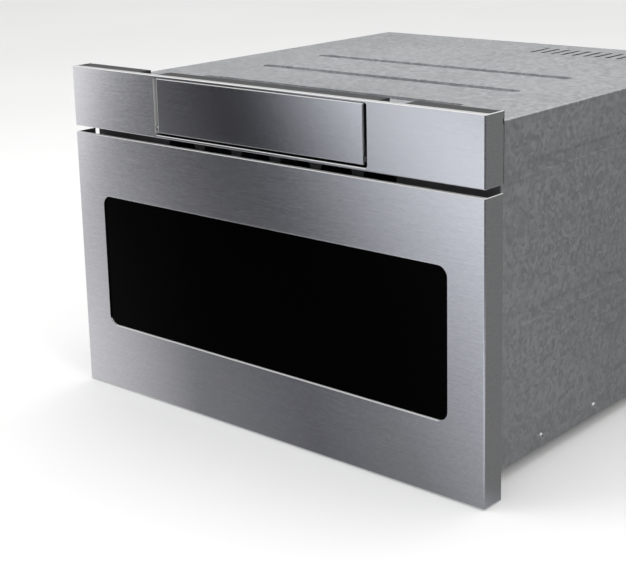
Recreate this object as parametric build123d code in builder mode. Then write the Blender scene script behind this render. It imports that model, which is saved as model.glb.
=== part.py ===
"""Built-in microwave drawer: a pull-out cooking tub behind a windowed front, a tilting control pod above it.

Frame: +X to the viewer's right, +Y into the cabinet, +Z up, in millimetres.
Origin: centre of the footprint, level with the lower edge of the drawer front.
"""

import os
from math import atan, cos, pi, radians, sin, sqrt, tan

from build123d import *

os.makedirs("parts", exist_ok=True)

# ---------------------------------------------------------------- overall
front_width = 606.0  # drawer front and fascia, the widest pieces
drawer_front_height = 322.0
front_gap = 8.0  # air gap between drawer front and fascia
fascia_height = 73.0
overall_depth = 590.0  # face of the fronts to the heads of the rear screws
front_depth = 30.0  # how far the folded fronts stand out
bumper_gap = 2.5  # closed drawer front to the front frame
body_width = 556.0  # sized for a 562 mm wide cut-out
body_height = 371.0  # sized for a 376 mm high cut-out
base_height = 14.0  # how far the drawer front hangs below the base
sheet = 1.0  # cabinet and cavity steel
frame_sheet = 1.5  # front frame steel
skin = 1.0  # stainless facing
skin_bend = 2.0  # outer bend radius of the facing and the pressed pans
running_gap = 0.35  # between pieces that slide past each other
shaft_clearance = 0.05  # on the radius of every pin, shaft, screw and spigot
switch_width = 6.4
switch_depth = 20.0
switch_height = 10.0
switch_blade = 4.0
screw_radius = 1.9  # M4, drawn plain
screw_head_radius = 3.6
screw_head_height = 2.0
screw_grip = 3.0  # shank under the head
screw_edge = 7.0  # line of screws to the edge of a folded sheet
screw_boss_radius = 5.0

# ---------------------------------------------------------------- cabinet
pan_lip = 24.0
bead_width = 18.0
bead_rise = 3.0
wrapper_flange = 12.0
vent_row_count = 9
vent_row_pitch = 16.0
vent_slot_length = 46.0
vent_slot_width = 5.0
grille_pitch = 12.0  # from ring to ring of the fan's grille
grille_slot_length = 9.0
grille_slot_width = 5.0
flange_inset = 5.0  # front frame hidden behind the fronts on each side
flange_drop = 10.0  # and below the fascia's top
mount_hole_radius = 2.5
mount_hole_inset = 9.0  # from the front frame's side
mount_hole_low = 50.0
mount_hole_high = 296.0
slot_count = 6  # vent slots seen between the two fronts
slot_pitch = 59.5
slot_length = 44.0
slot_height = 12.0
slot_centre = 316.0
glide_radius = 12.0
glide_height = 1.5
glide_inset = 40.0
gland_bore_radius = 4.5
gland_hex = 10.0
gland_nut = 5.0
gland_neck = 12.0
gland_neck_radius = 7.0
gland_inset = 36.0  # from the body's side
gland_height = 46.0  # above the base

# ---------------------------------------------------------------- drawer front
window_width = 516.0
window_height = 164.0
window_bottom = 83.0
window_corner = 12.0
notch_height = 6.0  # relief notch in the rear edge of each folded side
notch_depth = 1.5
notch_drop = 10.5  # notch below the top of its front
window_lip = 2.0  # the cut-out's turned-in edge, front face to its end
glass_thickness = 4.0
glass_overlap = 10.0  # glass hidden behind the facing on each side
sight_width = 400.0  # clear view through the inner panel
sight_height = 140.0
sight_bottom = 96.0
sight_corner = 10.0
skin_return_top = 5.0
skin_return_bottom = 12.0
frame_wall = 2.5
frame_top_recess = 10.0
rib_pitch = 62.0
screen_thickness = 0.5
choke_setback = 4.0  # from the cavity's mouth
choke_band = 12.0
choke_thickness = 1.5
bumper_radius = 6.0
bumper_relief = 0.1
bumper_inset = 17.0  # from the front's side
bumper_low = 150.0
bumper_high = 255.0
hook_height = 185.0  # centre of the latch hooks
hook_width = 6.0
hook_depth = 20.0
hook_reach = 24.0
hook_offset = 29.0  # from the cavity's mouth to the hook's centre line
hook_clearance = 2.0
hook_base = 2.0

# ---------------------------------------------------------------- cooking cavity and tub
cavity_width = 452.0
cavity_height = 196.0
works_depth = 113.0  # behind the cavity, for the magnetron and the fan
cavity_floor = 66.0  # top of the cavity's floor above the drawer front's lower edge
cavity_corner = 8.0
tub_side_gap = 6.0
tub_floor_gap = 4.0
tub_back_gap = 8.0
tub_wall_height = 150.0
tub_corner = 14.0
tub_bottom_bend = 8.0
tub_rim = 3.5
tub_flange = 9.0
tray_thickness = 4.0
tray_margin = 0.5  # past the tub's bottom bend

# ---------------------------------------------------------------- slides
drawer_travel = 381.0
slide_height = 46.0
slide_width = 13.0
slide_sheet = 1.5
slide_lip = 3.5
slide_length = 440.0
slide_setback = 8.0  # front end of the slides behind the front frame
slide_centre = 95.0
slide_nose = 2.0  # how far the inner member stands out of the outer one
arm_thickness = 2.5
arm_ledge = 6.0
arm_flange = 12.0
arm_flange_thickness = 2.0
arm_slot_length = 70.0
arm_slot_width = 16.0
arm_clearance = 1.5

# ---------------------------------------------------------------- drive
drive_module = 2.0
drive_teeth = 16
drive_face = 10.0
drive_bottom = 39.0  # underside of the rack
drive_setback = 34.0  # pinion axis behind the front frame
rack_back = 8.0
tooth_height = 0.85  # of the module, above the pitch line
tooth_depth = 1.2  # of the module, below it
root_overlap = 0.3
tooth_thinning = 0.25
pressure_angle = 20.0
shaft_radius = 4.0
gearbox_radius = 26.0
gearbox_height = 18.0
gearbox_boss = 2.5
motor_offset = 56.0
motor_radius = 19.0
motor_height = 26.0
guide_length = 50.0
guide_wall = 3.0

# ---------------------------------------------------------------- control pod
aperture_width = 317.0
aperture_sill = 3.5  # fascia left below the aperture
aperture_head = 2.0  # fascia left above the aperture
aperture_corner = 3.0
aperture_return = 8.0
pod_side_gap = 5.0
pod_bottom_gap = 2.8
pod_top_gap = 1.0
pod_depth = 36.0
pod_slope = 37.0  # touch glass below the horizontal while the pod is shut
pod_rear_wall = 10.0
pod_wall = 2.0
pod_keel = 8.0  # flat of the pod's underside behind its face
flap_return = 7.5
touch_thickness = 2.0
board_thickness = 1.6
board_drop = 3.0
display_width = 70.0
connector_width = 24.0
connector_reach = 90.0  # each side of the board's middle
hinge_setback = 4.0  # hinge axis behind the front face
hinge_rise = 5.7  # hinge axis above the flap's lower edge
hinge_pin_radius = 2.5
hinge_pin_depth = 6.0
hinge_hole_clearance = 0.7  # fascia's hole round the pin
housing_side = 3.0
housing_wall = 2.0
housing_gap = 0.5
housing_tail = 18.0  # how far the housing reaches behind the front frame
pod_port_bottom = 338.0
pod_port_top = 384.0
tilt_module = 1.0
sector_full_teeth = 36
tilt_pinion_teeth = 12
tilt_mesh_angle = 50.0  # line of centres above the horizontal
sector_span = 80.0
gear_face = 4.0
gear_gap = 0.3
tilt_shaft_radius = 1.5
tilt_motor_radius = 11.5
tilt_motor_length = 26.0
support_setback = 34.0  # fascia supports beside the pod housing

# ---------------------------------------------------------------- microwave works
wave_width = 80.0
wave_height = 36.0
wave_sheet = 1.2
wave_front = 40.0  # ahead of the stirrer's axis
port_radius = 22.0
antenna_radius = 7.0
antenna_height = 20.0
magnetron_width = 90.0
magnetron_depth = 78.0
magnetron_height = 92.0
magnetron_gap = 14.0  # behind the cavity's back
fin_count = 8
fin_thickness = 1.0
anode_radius = 21.0
filter_height = 24.0
stirrer_radius = 68.0
stirrer_blades = 4
stirrer_sheet = 1.5
stirrer_drop = 11.0  # blades below the ceiling
stirrer_shaft_radius = 3.0
stirrer_motor_radius = 24.0
stirrer_motor_height = 16.0
cover_width = 170.0
cover_depth = 20.0
cover_wall = 1.5
transformer_width = 92.0
transformer_depth = 70.0
transformer_height = 78.0
coil_width = 64.0
coil_height = 20.0
coil_reach = 18.0  # past the core, front and back
capacitor_length = 82.0
capacitor_width = 50.0
capacitor_thickness = 32.0
fan_radius = 49.0
fan_blades = 7
fan_hub_radius = 14.0
fan_depth = 18.0
fan_tip_gap = 2.5
fan_x = 150.0
fan_height = 215.0
fan_tunnel = 32.0
fan_flange = 6.0
fan_motor_radius = 22.0
fan_motor_length = 34.0
duct_wall = 1.5
lamp_setback = 322.0  # behind the cavity's mouth
lamp_height = 205.0
lamp_hole_pitch = 6.0
lamp_hole_radius = 1.6
lamp_plate_width = 36.0
lamp_plate_height = 32.0
lamp_radius = 13.0
lamp_length = 22.0
lamp_shoulder = 4.0
blade_length = 8.0  # push-on terminals
blade_width = 6.0
blade_thickness = 0.8
blade_pitch = 10.0
board_width = 150.0
board_length = 170.0
board_standoff = 10.0
board_post_radius = 3.5
board_post_inset = 6.0
relay_width = 18.0
relay_length = 28.0
relay_height = 16.0
relay_gap = 7.0
choke_width = 44.0
choke_length = 38.0
choke_height = 32.0
can_radius = 9.0
can_height = 26.0
can_pitch = 24.0
sink_fin_count = 6
sink_fin_thickness = 1.4
sink_fin_pitch = 5.0
sink_length = 44.0
sink_height = 24.0
plug_count = 5
plug_width = 16.0
plug_length = 9.0
plug_height = 11.0
plug_pitch = 24.0

# ---------------------------------------------------------------- derived places
y_front = -overall_depth / 2
y_face = y_front + front_depth  # rear of the folded fronts
y_flange = y_face + bumper_gap  # face of the front frame
y_body = y_flange + frame_sheet
y_back = overall_depth / 2
y_rear = y_back - screw_head_height  # face of the back panel
y_wrap = y_rear - sheet  # its inner face
z_base = base_height
z_floor = z_base + sheet
z_roof = z_base + body_height
z_fascia = drawer_front_height + front_gap
z_top = z_fascia + fascia_height
half_body = body_width / 2
half_inside = half_body - sheet
half_front = front_width / 2
flange_width = front_width - 2 * flange_inset
flange_top = z_top - flange_drop
x_mount_hole = flange_width / 2 - mount_hole_inset
half_cavity = cavity_width / 2
z_ceiling = cavity_floor + cavity_height
z_deck = z_ceiling + sheet  # upper face of the cavity's roof
y_cavity_back = y_wrap - works_depth
cavity_depth = y_cavity_back - y_body
cavity_mid_y = y_body + cavity_depth / 2
half_aperture = aperture_width / 2
half_pod = half_aperture - pod_side_gap
z_aperture = z_fascia + aperture_sill
aperture_top = z_top - aperture_head
z_pod = z_aperture + pod_bottom_gap
pod_top = aperture_top - pod_top_gap
y_hinge = y_front + hinge_setback
z_hinge = z_pod + hinge_rise
glass_front = y_front + window_lip
glass_back = glass_front + glass_thickness
glass_width = window_width + 2 * glass_overlap
glass_height = window_height + 2 * glass_overlap
half_sight = sight_width / 2
sight_top = sight_bottom + sight_height
window_mid = window_bottom + window_height / 2
sight_mid = sight_bottom + sight_height / 2
half_tub = half_cavity - tub_side_gap
z_tub = cavity_floor + tub_floor_gap
y_tub_back = y_cavity_back - tub_back_gap
x_hook = half_cavity + hook_offset
y_slide = y_flange + slide_setback
x_rack = drive_module * drive_teeth / 2  # pitch line of the rack; the pinion turns at x = 0
y_pinion = y_flange + drive_setback
port_half = half_aperture + hinge_pin_radius - sheet
z_frame_top = drawer_front_height - skin - frame_top_recess
half_frame = half_front - skin
tilt_radius = tilt_module * (sector_full_teeth + tilt_pinion_teeth) / 2


def write(piece, label):
    """Name a finished piece and write it as one STEP file."""
    piece.label = label
    export_step(piece, f"parts/{label}.step")


def front_plane(y):
    """Drawing plane facing the user: local x to the right, local y up, extruding towards the user."""
    return Plane(origin=(0, y, 0), x_dir=(1, 0, 0), z_dir=(0, -1, 0))


def side_plane(x):
    """Drawing plane across the machine: local x into the cabinet, local y up, extruding to the right."""
    return Plane(origin=(x, 0, 0), x_dir=(0, 1, 0), z_dir=(1, 0, 0))


def block(x0, x1, y0, y1, z0, z1, mode=Mode.ADD):
    """A box between two corners, in the part being built."""
    with Locations(((x0 + x1) / 2, (y0 + y1) / 2, (z0 + z1) / 2)):
        Box(x1 - x0, y1 - y0, z1 - z0, mode=mode)


def pane(x0, x1, z0, z1, corner=0.0, mode=Mode.ADD):
    """A rectangle between two corners, in the sketch being drawn."""
    with Locations(((x0 + x1) / 2, (z0 + z1) / 2)):
        if corner > 0:
            RectangleRounded(x1 - x0, z1 - z0, corner, mode=mode)
        else:
            Rectangle(x1 - x0, z1 - z0, mode=mode)


def seat(x, y, z, direction):
    """A plane at a point whose normal is the given direction."""
    return Plane(origin=(x, y, z), z_dir=direction)


def screws(places):
    """Pan-head screws, one on each plane given; each plane looks along its screw's shank."""
    with BuildPart() as group:
        for place in places:
            with BuildSketch(place):
                Circle(screw_radius)
            extrude(amount=screw_grip)
            with BuildSketch(place):
                Circle(screw_head_radius)
            extrude(amount=-screw_head_height, taper=20)
    return group.part


def screw_holes(places):
    """The holes that a group of screws needs, to be cut out of each sheet that they pass."""
    with BuildPart() as group:
        for place in places:
            with BuildSketch(place):
                Circle(screw_radius + shaft_clearance)
            extrude(amount=screw_grip + shaft_clearance)
    return group.part


def beads(plane, spots, length):
    """Pressed beads, as the metal to add and the groove to cut; the plane looks in from the sheet's face."""
    made = []
    for trim, depth in ((0.0, bead_rise + sheet), (sheet, bead_rise)):
        with BuildPart() as form:
            with BuildSketch(plane):
                with Locations(*spots):
                    SlotOverall(length - 2 * trim, bead_width - 2 * trim)
            extrude(amount=depth)
        made.append(form.part)
    return made


def involute(unroll):
    """Polar angle of an involute for a given unrolled length over its base radius."""
    return unroll - atan(unroll)


def tooth_outline(teeth, module, start_radius):
    """One gear tooth along local x: involute flanks drawn with a few chords, thinned for backlash."""
    pitch = teeth * module / 2
    base = pitch * cos(radians(pressure_angle))
    tip = pitch + module * tooth_height
    low = max(base, start_radius)
    middle = pi / 2 / teeth - tooth_thinning * module / 4 / pitch + involute(tan(radians(pressure_angle)))
    radii = [low + (tip - low) * step / 3 for step in range(4)]
    angles = [middle - involute(sqrt((radius / base) ** 2 - 1)) for radius in radii]
    upper = [(radius * cos(angle), radius * sin(angle)) for radius, angle in zip(radii, angles)]
    upper.insert(0, (start_radius * cos(middle), start_radius * sin(middle)))
    return upper + [(x, -y) for x, y in reversed(upper)]


def toothed(plane, teeth, module, first, count, body_radius):
    """Sketch of a disc with some of its teeth; first is the angle of the first tooth in degrees."""
    root = teeth * module / 2 - module * tooth_depth
    with BuildSketch(mode=Mode.PRIVATE) as tooth:
        with BuildLine():
            Polyline(*tooth_outline(teeth, module, root - root_overlap), close=True)
        make_face()
    with BuildSketch(plane) as wheel:
        Circle(body_radius)
        with PolarLocations(0, count, start_angle=first, angular_range=360 * count / teeth, endpoint=False):
            add(tooth.sketch)
    return wheel.sketch


# ---------------------------------------------------------------- cabinet shell
flange_start = slide_centre + slide_height / 2 + wrapper_flange
z_pan_screw = z_base + pan_lip / 2
x_edge_screw = half_body - screw_edge
z_low_screw = flange_start + 2 * screw_edge
rear_spots = [(x_edge_screw, z) for z in (z_low_screw, fan_height, z_roof - 3 * screw_edge)]
rear_spots += [(x, z) for x in (0, body_width / 4) for z in (z_pan_screw, z_roof - screw_edge)]
frame_spots = [(x_edge_screw, z) for z in (z_low_screw, hook_height + 7 * screw_edge, slot_centre - screw_edge)]
frame_spots += [(body_width / 3, z_pan_screw)]
side_rows = [y_body + (y_wrap - y_body) * step / 5 for step in (1, 2, 3, 4)]
cabinet_seats = []
for side in (-1, 1):
    cabinet_seats += [seat(side * x, y_rear, z, (0, -1, 0)) for x, z in rear_spots if x > 0 or side > 0]
    cabinet_seats += [seat(side * x, y_flange, z, (0, 1, 0)) for x, z in frame_spots]
    cabinet_seats += [seat(side * half_body, y, z_pan_screw, (-side, 0, 0)) for y in side_rows]
write(screws(cabinet_seats), "cabinet_screws")

with BuildPart() as base_pan:
    # a folded pan with beads pressed up from its floor
    with BuildSketch(Plane.XY.offset(z_base)):
        with Locations((0, (y_body + y_wrap) / 2)):
            Rectangle(2 * half_inside, y_wrap - y_body)
    extrude(amount=pan_lip)
    fillet(base_pan.edges().filter_by(Axis.Y).group_by(Axis.Z)[0], radius=skin_bend)
    offset(amount=-sheet, openings=base_pan.faces().sort_by(Axis.Z)[-1])
    pan_spots = [(side * body_width / 4, row * cavity_depth / 3) for side in (-1, 1) for row in (-1, 0, 1)]
    metal, groove = beads(Plane.XY.offset(z_base), pan_spots, body_width / 3)
    add(metal)
    add(groove, mode=Mode.SUBTRACT)
    add(screw_holes(cabinet_seats), mode=Mode.SUBTRACT)
write(base_pan.part, "base_pan")

with BuildPart() as outer_wrapper:
    # roof and sides folded from one sheet, with turned-in edges above the slides
    with BuildSketch(front_plane(y_wrap)):
        pane(-half_body, half_body, z_base, z_roof)
    extrude(amount=y_wrap - y_body)
    fillet(outer_wrapper.edges().filter_by(Axis.Y).group_by(Axis.Z)[-1], radius=skin_bend)
    block(-half_inside, half_inside, y_body, y_wrap, z_base, z_roof - sheet, mode=Mode.SUBTRACT)
    for y_turn in (y_body, y_wrap - sheet):
        block(-half_inside, half_inside, y_turn, y_turn + sheet, flange_start, z_roof - sheet)
        block(
            wrapper_flange - half_inside,
            half_inside - wrapper_flange,
            y_turn,
            y_turn + sheet,
            flange_start,
            z_roof - sheet - wrapper_flange,
            mode=Mode.SUBTRACT,
        )
    block(-port_half, port_half, y_body, y_body + sheet, z_roof - sheet - wrapper_flange, z_roof - sheet,
          mode=Mode.SUBTRACT)
    # cooling slots across the rear of the roof
    with BuildSketch(Plane.XY.offset(z_roof)):
        with Locations((half_body / 3, y_wrap - wrapper_flange - vent_slot_length)):
            with GridLocations(vent_row_pitch, 1, vent_row_count, 1):
                SlotOverall(vent_slot_length, vent_slot_width, rotation=90)
    extrude(amount=-2 * sheet, mode=Mode.SUBTRACT)
    # beads pressed inwards, across the roof and along both sides
    roof_spots = [(0, -row * cavity_depth / 4 + body_width / 8) for row in (-1, 0, 1)]
    bead_rows = [z_base + body_height * share for share in (0.42, 0.85)]
    roof_plane = Plane(origin=(0, 0, z_roof), x_dir=(1, 0, 0), z_dir=(0, 0, -1))
    right_plane = Plane(origin=(half_body, 0, 0), x_dir=(0, 1, 0), z_dir=(-1, 0, 0))
    for plane, spots, length in (
        (roof_plane, roof_spots, body_width * 0.7),
        (side_plane(-half_body), [(0, row) for row in bead_rows], cavity_depth * 0.9),
        (right_plane, [(0, -row) for row in bead_rows], cavity_depth * 0.9),
    ):
        metal, groove = beads(plane, spots, length)
        add(metal)
        add(groove, mode=Mode.SUBTRACT)
    add(screw_holes(cabinet_seats), mode=Mode.SUBTRACT)
write(outer_wrapper.part, "outer_wrapper")

grille_rings = [(fan_hub_radius + ring * grille_pitch, 8 + 4 * ring) for ring in range(3)]
with BuildPart() as back_panel:
    # rear panel with pressed beads, the fan's round grille and the cord's hole
    with BuildSketch(front_plane(y_rear)):
        pane(-half_body, half_body, z_base, z_roof)
        with Locations((-half_body + gland_inset, z_base + gland_height)):
            Circle(gland_neck_radius + shaft_clearance, mode=Mode.SUBTRACT)
        with Locations((fan_x, fan_height)):
            for ring_radius, holes in grille_rings:
                with PolarLocations(ring_radius, holes):
                    SlotOverall(grille_slot_length, grille_slot_width, mode=Mode.SUBTRACT)
    extrude(amount=sheet)
    fillet(back_panel.edges().filter_by(Axis.Y).group_by(Axis.Z)[-1], radius=skin_bend)
    rear_rows = [(-body_width / 6, z_base + body_height * quarter / 4) for quarter in (1, 2, 3)]
    metal, groove = beads(front_plane(y_rear), rear_rows, body_width / 2)
    add(metal)
    add(groove, mode=Mode.SUBTRACT)
    add(screw_holes(cabinet_seats), mode=Mode.SUBTRACT)
write(back_panel.part, "back_panel")

slot_low = slide_centre - slide_height / 2 - arm_clearance - arm_thickness
slot_top = slide_centre + slide_height / 2 + arm_clearance
x_arm = half_inside - slide_width - arm_thickness  # inner face of the support arm
guide_x = x_rack + drive_module * tooth_depth + rack_back
hook_port_width = hook_width + 2 * hook_clearance
hook_port_height = hook_depth + 2 * hook_clearance
with BuildPart() as front_frame:
    # flat front frame with the cavity's mouth, the pod's port, the vents and the runners' ports
    with BuildSketch(front_plane(y_body)):
        pane(-flange_width / 2, flange_width / 2, z_base, flange_top, skin_bend)
        pane(-half_cavity, half_cavity, cavity_floor, z_ceiling, cavity_corner, Mode.SUBTRACT)
        pane(-port_half, port_half, pod_port_bottom, pod_port_top, mode=Mode.SUBTRACT)
        with Locations((0, slot_centre)):
            with GridLocations(slot_pitch, 1, slot_count, 1):
                SlotOverall(slot_length, slot_height, mode=Mode.SUBTRACT)
        for side in (-1, 1):
            ends = sorted((side * (x_arm - arm_ledge - arm_clearance), side * half_inside))
            pane(ends[0], ends[1], slot_low, slot_top, skin_bend / 2, Mode.SUBTRACT)
            with Locations((side * x_hook, hook_height)):
                Rectangle(hook_port_width, hook_port_height, mode=Mode.SUBTRACT)
            for hole_height in (mount_hole_low, mount_hole_high):
                with Locations((side * x_mount_hole, hole_height)):
                    Circle(mount_hole_radius, mode=Mode.SUBTRACT)
        pane(
            x_rack - drive_module - guide_wall,
            guide_x + guide_wall,
            drive_bottom - guide_wall,
            drive_bottom + drive_face + guide_wall,
            skin_bend / 2,
            Mode.SUBTRACT,
        )
    extrude(amount=frame_sheet)
    add(screw_holes(cabinet_seats), mode=Mode.SUBTRACT)
write(front_frame.part, "front_frame")

x_gland = gland_inset - half_body
z_gland = z_base + gland_height
with BuildPart() as cord_gland:
    # gland set in the back panel, nut inside; its bore takes the mains lead
    with BuildSketch(seat(x_gland, y_wrap, z_gland, (0, -1, 0))):
        RegularPolygon(gland_hex, 6)
    extrude(amount=gland_nut)
    with BuildSketch(seat(x_gland, y_rear, z_gland, (0, -1, 0))):
        Circle(gland_neck_radius)
    extrude(amount=gland_neck)
    with BuildSketch(seat(x_gland, y_rear, z_gland, (0, -1, 0))):
        Circle(gland_bore_radius)
    extrude(amount=gland_neck, mode=Mode.SUBTRACT)
write(cord_gland.part, "cord_gland")

with BuildPart() as glides:
    # four low pads pressed onto the base pan's floor
    with BuildSketch(Plane.XY.offset(z_floor)):
        with Locations((0, (y_body + y_wrap) / 2)):
            with GridLocations(2 * (half_inside - glide_inset), y_wrap - y_body - 2 * glide_inset, 2, 2):
                Circle(glide_radius)
    extrude(amount=glide_height)
write(glides.part, "glides")

# ---------------------------------------------------------------- cooking cavity
y_lamp = y_body + lamp_setback
with BuildPart() as oven_cavity:
    # welded steel cavity, open at the front, with its waveguide port and the lamp's holes
    with BuildSketch(front_plane(y_cavity_back + sheet)):
        pane(-half_cavity - sheet, half_cavity + sheet, cavity_floor - sheet, z_deck, cavity_corner + sheet)
    extrude(amount=cavity_depth + sheet)
    fillet(oven_cavity.faces().sort_by(Axis.Y)[-1].edges(), radius=cavity_corner)
    offset(amount=-sheet, openings=oven_cavity.faces().sort_by(Axis.Y)[0])
    with BuildSketch(Plane.XY.offset(z_deck)):
        with Locations((0, cavity_mid_y)):
            Circle(port_radius)
    extrude(amount=-2 * sheet, mode=Mode.SUBTRACT)
    with BuildSketch(Plane.YZ.offset(half_cavity - sheet)):
        with Locations((y_lamp, lamp_height)):
            with GridLocations(lamp_hole_pitch, lamp_hole_pitch, 4, 4):
                Circle(lamp_hole_radius)
    extrude(amount=3 * sheet, mode=Mode.SUBTRACT)
write(oven_cavity.part, "oven_cavity")

with BuildPart() as stirrer_cover:
    # shallow moulded dish under the ceiling that hides the stirrer
    for inset, mode in ((0.0, Mode.ADD), (cover_wall, Mode.SUBTRACT)):
        with BuildSketch(Plane.XY.offset(z_ceiling)):
            with Locations((0, cavity_mid_y)):
                RectangleRounded(cover_width - 2 * inset, cover_width - 2 * inset, cover_width / 6 - inset)
        extrude(amount=inset - cover_depth, taper=12, mode=mode)
    chamfer(stirrer_cover.faces().sort_by(Axis.Z)[0].outer_wire().edges(), length=cover_wall / 2)
write(stirrer_cover.part, "stirrer_cover")

z_blade = z_ceiling - stirrer_drop
z_stirrer_motor = z_deck + wave_height
with BuildPart() as stirrer_blade:
    # bent metal vanes on a hub, with the shaft that runs up through the waveguide
    with BuildSketch(Plane.XY.offset(z_blade)):
        with Locations((0, cavity_mid_y)):
            Circle(stirrer_radius / 3)
            with PolarLocations(stirrer_radius / 2, stirrer_blades):
                Rectangle(stirrer_radius, stirrer_radius / 3)
    extrude(amount=stirrer_sheet)
    for turn in range(stirrer_blades):
        spoke = Vector(1, 0, 0).rotate(Axis.Z, 360 * turn / stirrer_blades)
        fold = Plane(origin=(0, cavity_mid_y, z_blade), x_dir=spoke, z_dir=(0, 0, 1))
        with BuildSketch(fold):
            with Locations((stirrer_radius * 0.7, -stirrer_radius / 6 - stirrer_sheet / 2)):
                Rectangle(stirrer_radius * 0.55, stirrer_sheet)
        extrude(amount=stirrer_drop / 2)
    with BuildSketch(Plane.XY.offset(z_blade)):
        with Locations((0, cavity_mid_y)):
            Circle(stirrer_shaft_radius)
    extrude(amount=z_stirrer_motor + stirrer_motor_height / 2 - z_blade)
write(stirrer_blade.part, "stirrer_blade")

y_wave_front = cavity_mid_y - wave_front
y_magnetron = y_cavity_back + sheet + magnetron_gap
y_antenna = y_magnetron + magnetron_depth / 2
y_wave_back = y_magnetron + magnetron_depth
with BuildPart() as waveguide:
    # closed rectangular duct over the cavity, from the magnetron's antenna to the stirrer's port
    block(-wave_width / 2, wave_width / 2, y_wave_front, y_wave_back, z_deck, z_stirrer_motor)
    block(
        wave_sheet - wave_width / 2,
        wave_width / 2 - wave_sheet,
        y_wave_front + wave_sheet,
        y_wave_back - wave_sheet,
        z_deck + wave_sheet,
        z_stirrer_motor - wave_sheet,
        mode=Mode.SUBTRACT,
    )
    # welding flanges along both sides
    for side in (-1, 1):
        edge = side * wave_width / 2
        lip = edge + side * wrapper_flange
        block(min(edge, lip), max(edge, lip), y_wave_front, y_cavity_back, z_deck, z_deck + wave_sheet)
    with BuildSketch(Plane.XY.offset(z_deck)):
        with Locations((0, cavity_mid_y)):
            Circle(port_radius)
        with Locations((0, y_antenna)):
            Circle(antenna_radius + 3 * shaft_radius)
    extrude(amount=wave_sheet, mode=Mode.SUBTRACT)
    with BuildSketch(Plane.XY.offset(z_stirrer_motor)):
        with Locations((0, cavity_mid_y)):
            Circle(stirrer_shaft_radius + running_gap)
    extrude(amount=-wave_sheet, mode=Mode.SUBTRACT)
write(waveguide.part, "waveguide")

with BuildPart() as stirrer_motor:
    # flat synchronous motor with two ears
    with BuildSketch(Plane.XY.offset(z_stirrer_motor)):
        with Locations((0, cavity_mid_y)):
            Circle(stirrer_motor_radius)
            SlotOverall(wave_width - 4 * wave_sheet, stirrer_motor_radius)
    extrude(amount=stirrer_motor_height / 4)
    with BuildSketch(Plane.XY.offset(z_stirrer_motor)):
        with Locations((0, cavity_mid_y)):
            Circle(stirrer_motor_radius)
    extrude(amount=stirrer_motor_height)
    fillet(stirrer_motor.faces().sort_by(Axis.Z)[-1].edges(), radius=skin_bend)
    with BuildSketch(Plane.XY.offset(z_stirrer_motor)):
        with Locations((0, cavity_mid_y)):
            Circle(stirrer_shaft_radius + shaft_clearance)
    extrude(amount=stirrer_motor_height / 2 + running_gap, mode=Mode.SUBTRACT)
write(stirrer_motor.part, "stirrer_motor")

z_magnetron = z_deck - magnetron_height
with BuildPart() as magnetron:
    # yoke open to the cooling air, with its fin stack, anode, filter box and antenna
    half_magnetron = magnetron_width / 2
    block(-half_magnetron, half_magnetron, y_magnetron, y_magnetron + magnetron_depth, z_magnetron, z_deck)
    block(
        -half_magnetron,
        half_magnetron,
        y_magnetron + wave_sheet,
        y_magnetron + magnetron_depth - wave_sheet,
        z_magnetron + wave_sheet,
        z_deck - wave_sheet,
        mode=Mode.SUBTRACT,
    )
    with BuildSketch(Plane.XY.offset(z_magnetron)):
        with Locations((0, y_antenna)):
            Circle(anode_radius)
    extrude(amount=magnetron_height)
    fin_pitch = magnetron_height / (fin_count + 1)
    for fin in range(fin_count):
        z_fin = z_magnetron + (fin + 1) * fin_pitch
        block(
            fin_pitch - half_magnetron,
            half_magnetron - fin_pitch,
            y_magnetron + wave_sheet,
            y_magnetron + magnetron_depth - wave_sheet,
            z_fin,
            z_fin + fin_thickness,
        )
    block(
        -half_magnetron * 0.8,
        half_magnetron * 0.8,
        y_antenna - magnetron_depth / 3,
        y_antenna + magnetron_depth / 3,
        z_magnetron - filter_height,
        z_magnetron,
    )
    with BuildSketch(Plane.XY.offset(z_deck)):
        with Locations((0, y_antenna)):
            Circle(antenna_radius)
    extrude(amount=antenna_height)
    fillet(magnetron.faces().sort_by(Axis.Z)[-1].edges(), radius=antenna_radius / 2)
write(magnetron.part, "magnetron")

# ---------------------------------------------------------------- power parts in the rear compartment
x_transformer = -half_inside + capacitor_width + transformer_width
with BuildPart() as high_voltage_transformer:
    # laminated core on a foot plate, with two wound coils standing proud of it
    y_transformer = y_antenna
    with BuildSketch(Plane.XY.offset(z_floor)):
        with Locations((x_transformer, y_transformer)):
            Rectangle(transformer_width + 2 * wrapper_flange, transformer_depth)
    extrude(amount=2 * wave_sheet)
    with BuildSketch(Plane.XY.offset(z_floor)):
        with Locations((x_transformer, y_transformer)):
            Rectangle(transformer_width, transformer_depth)
    extrude(amount=transformer_height)
    for share in (1 / 6, 0.55):
        with BuildSketch(Plane.XY.offset(z_floor + transformer_height * share)):
            with Locations((x_transformer, y_transformer)):
                RectangleRounded(coil_width, transformer_depth + 2 * coil_reach, coil_reach / 2)
        extrude(amount=coil_height)
write(high_voltage_transformer.part, "high_voltage_transformer")

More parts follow.
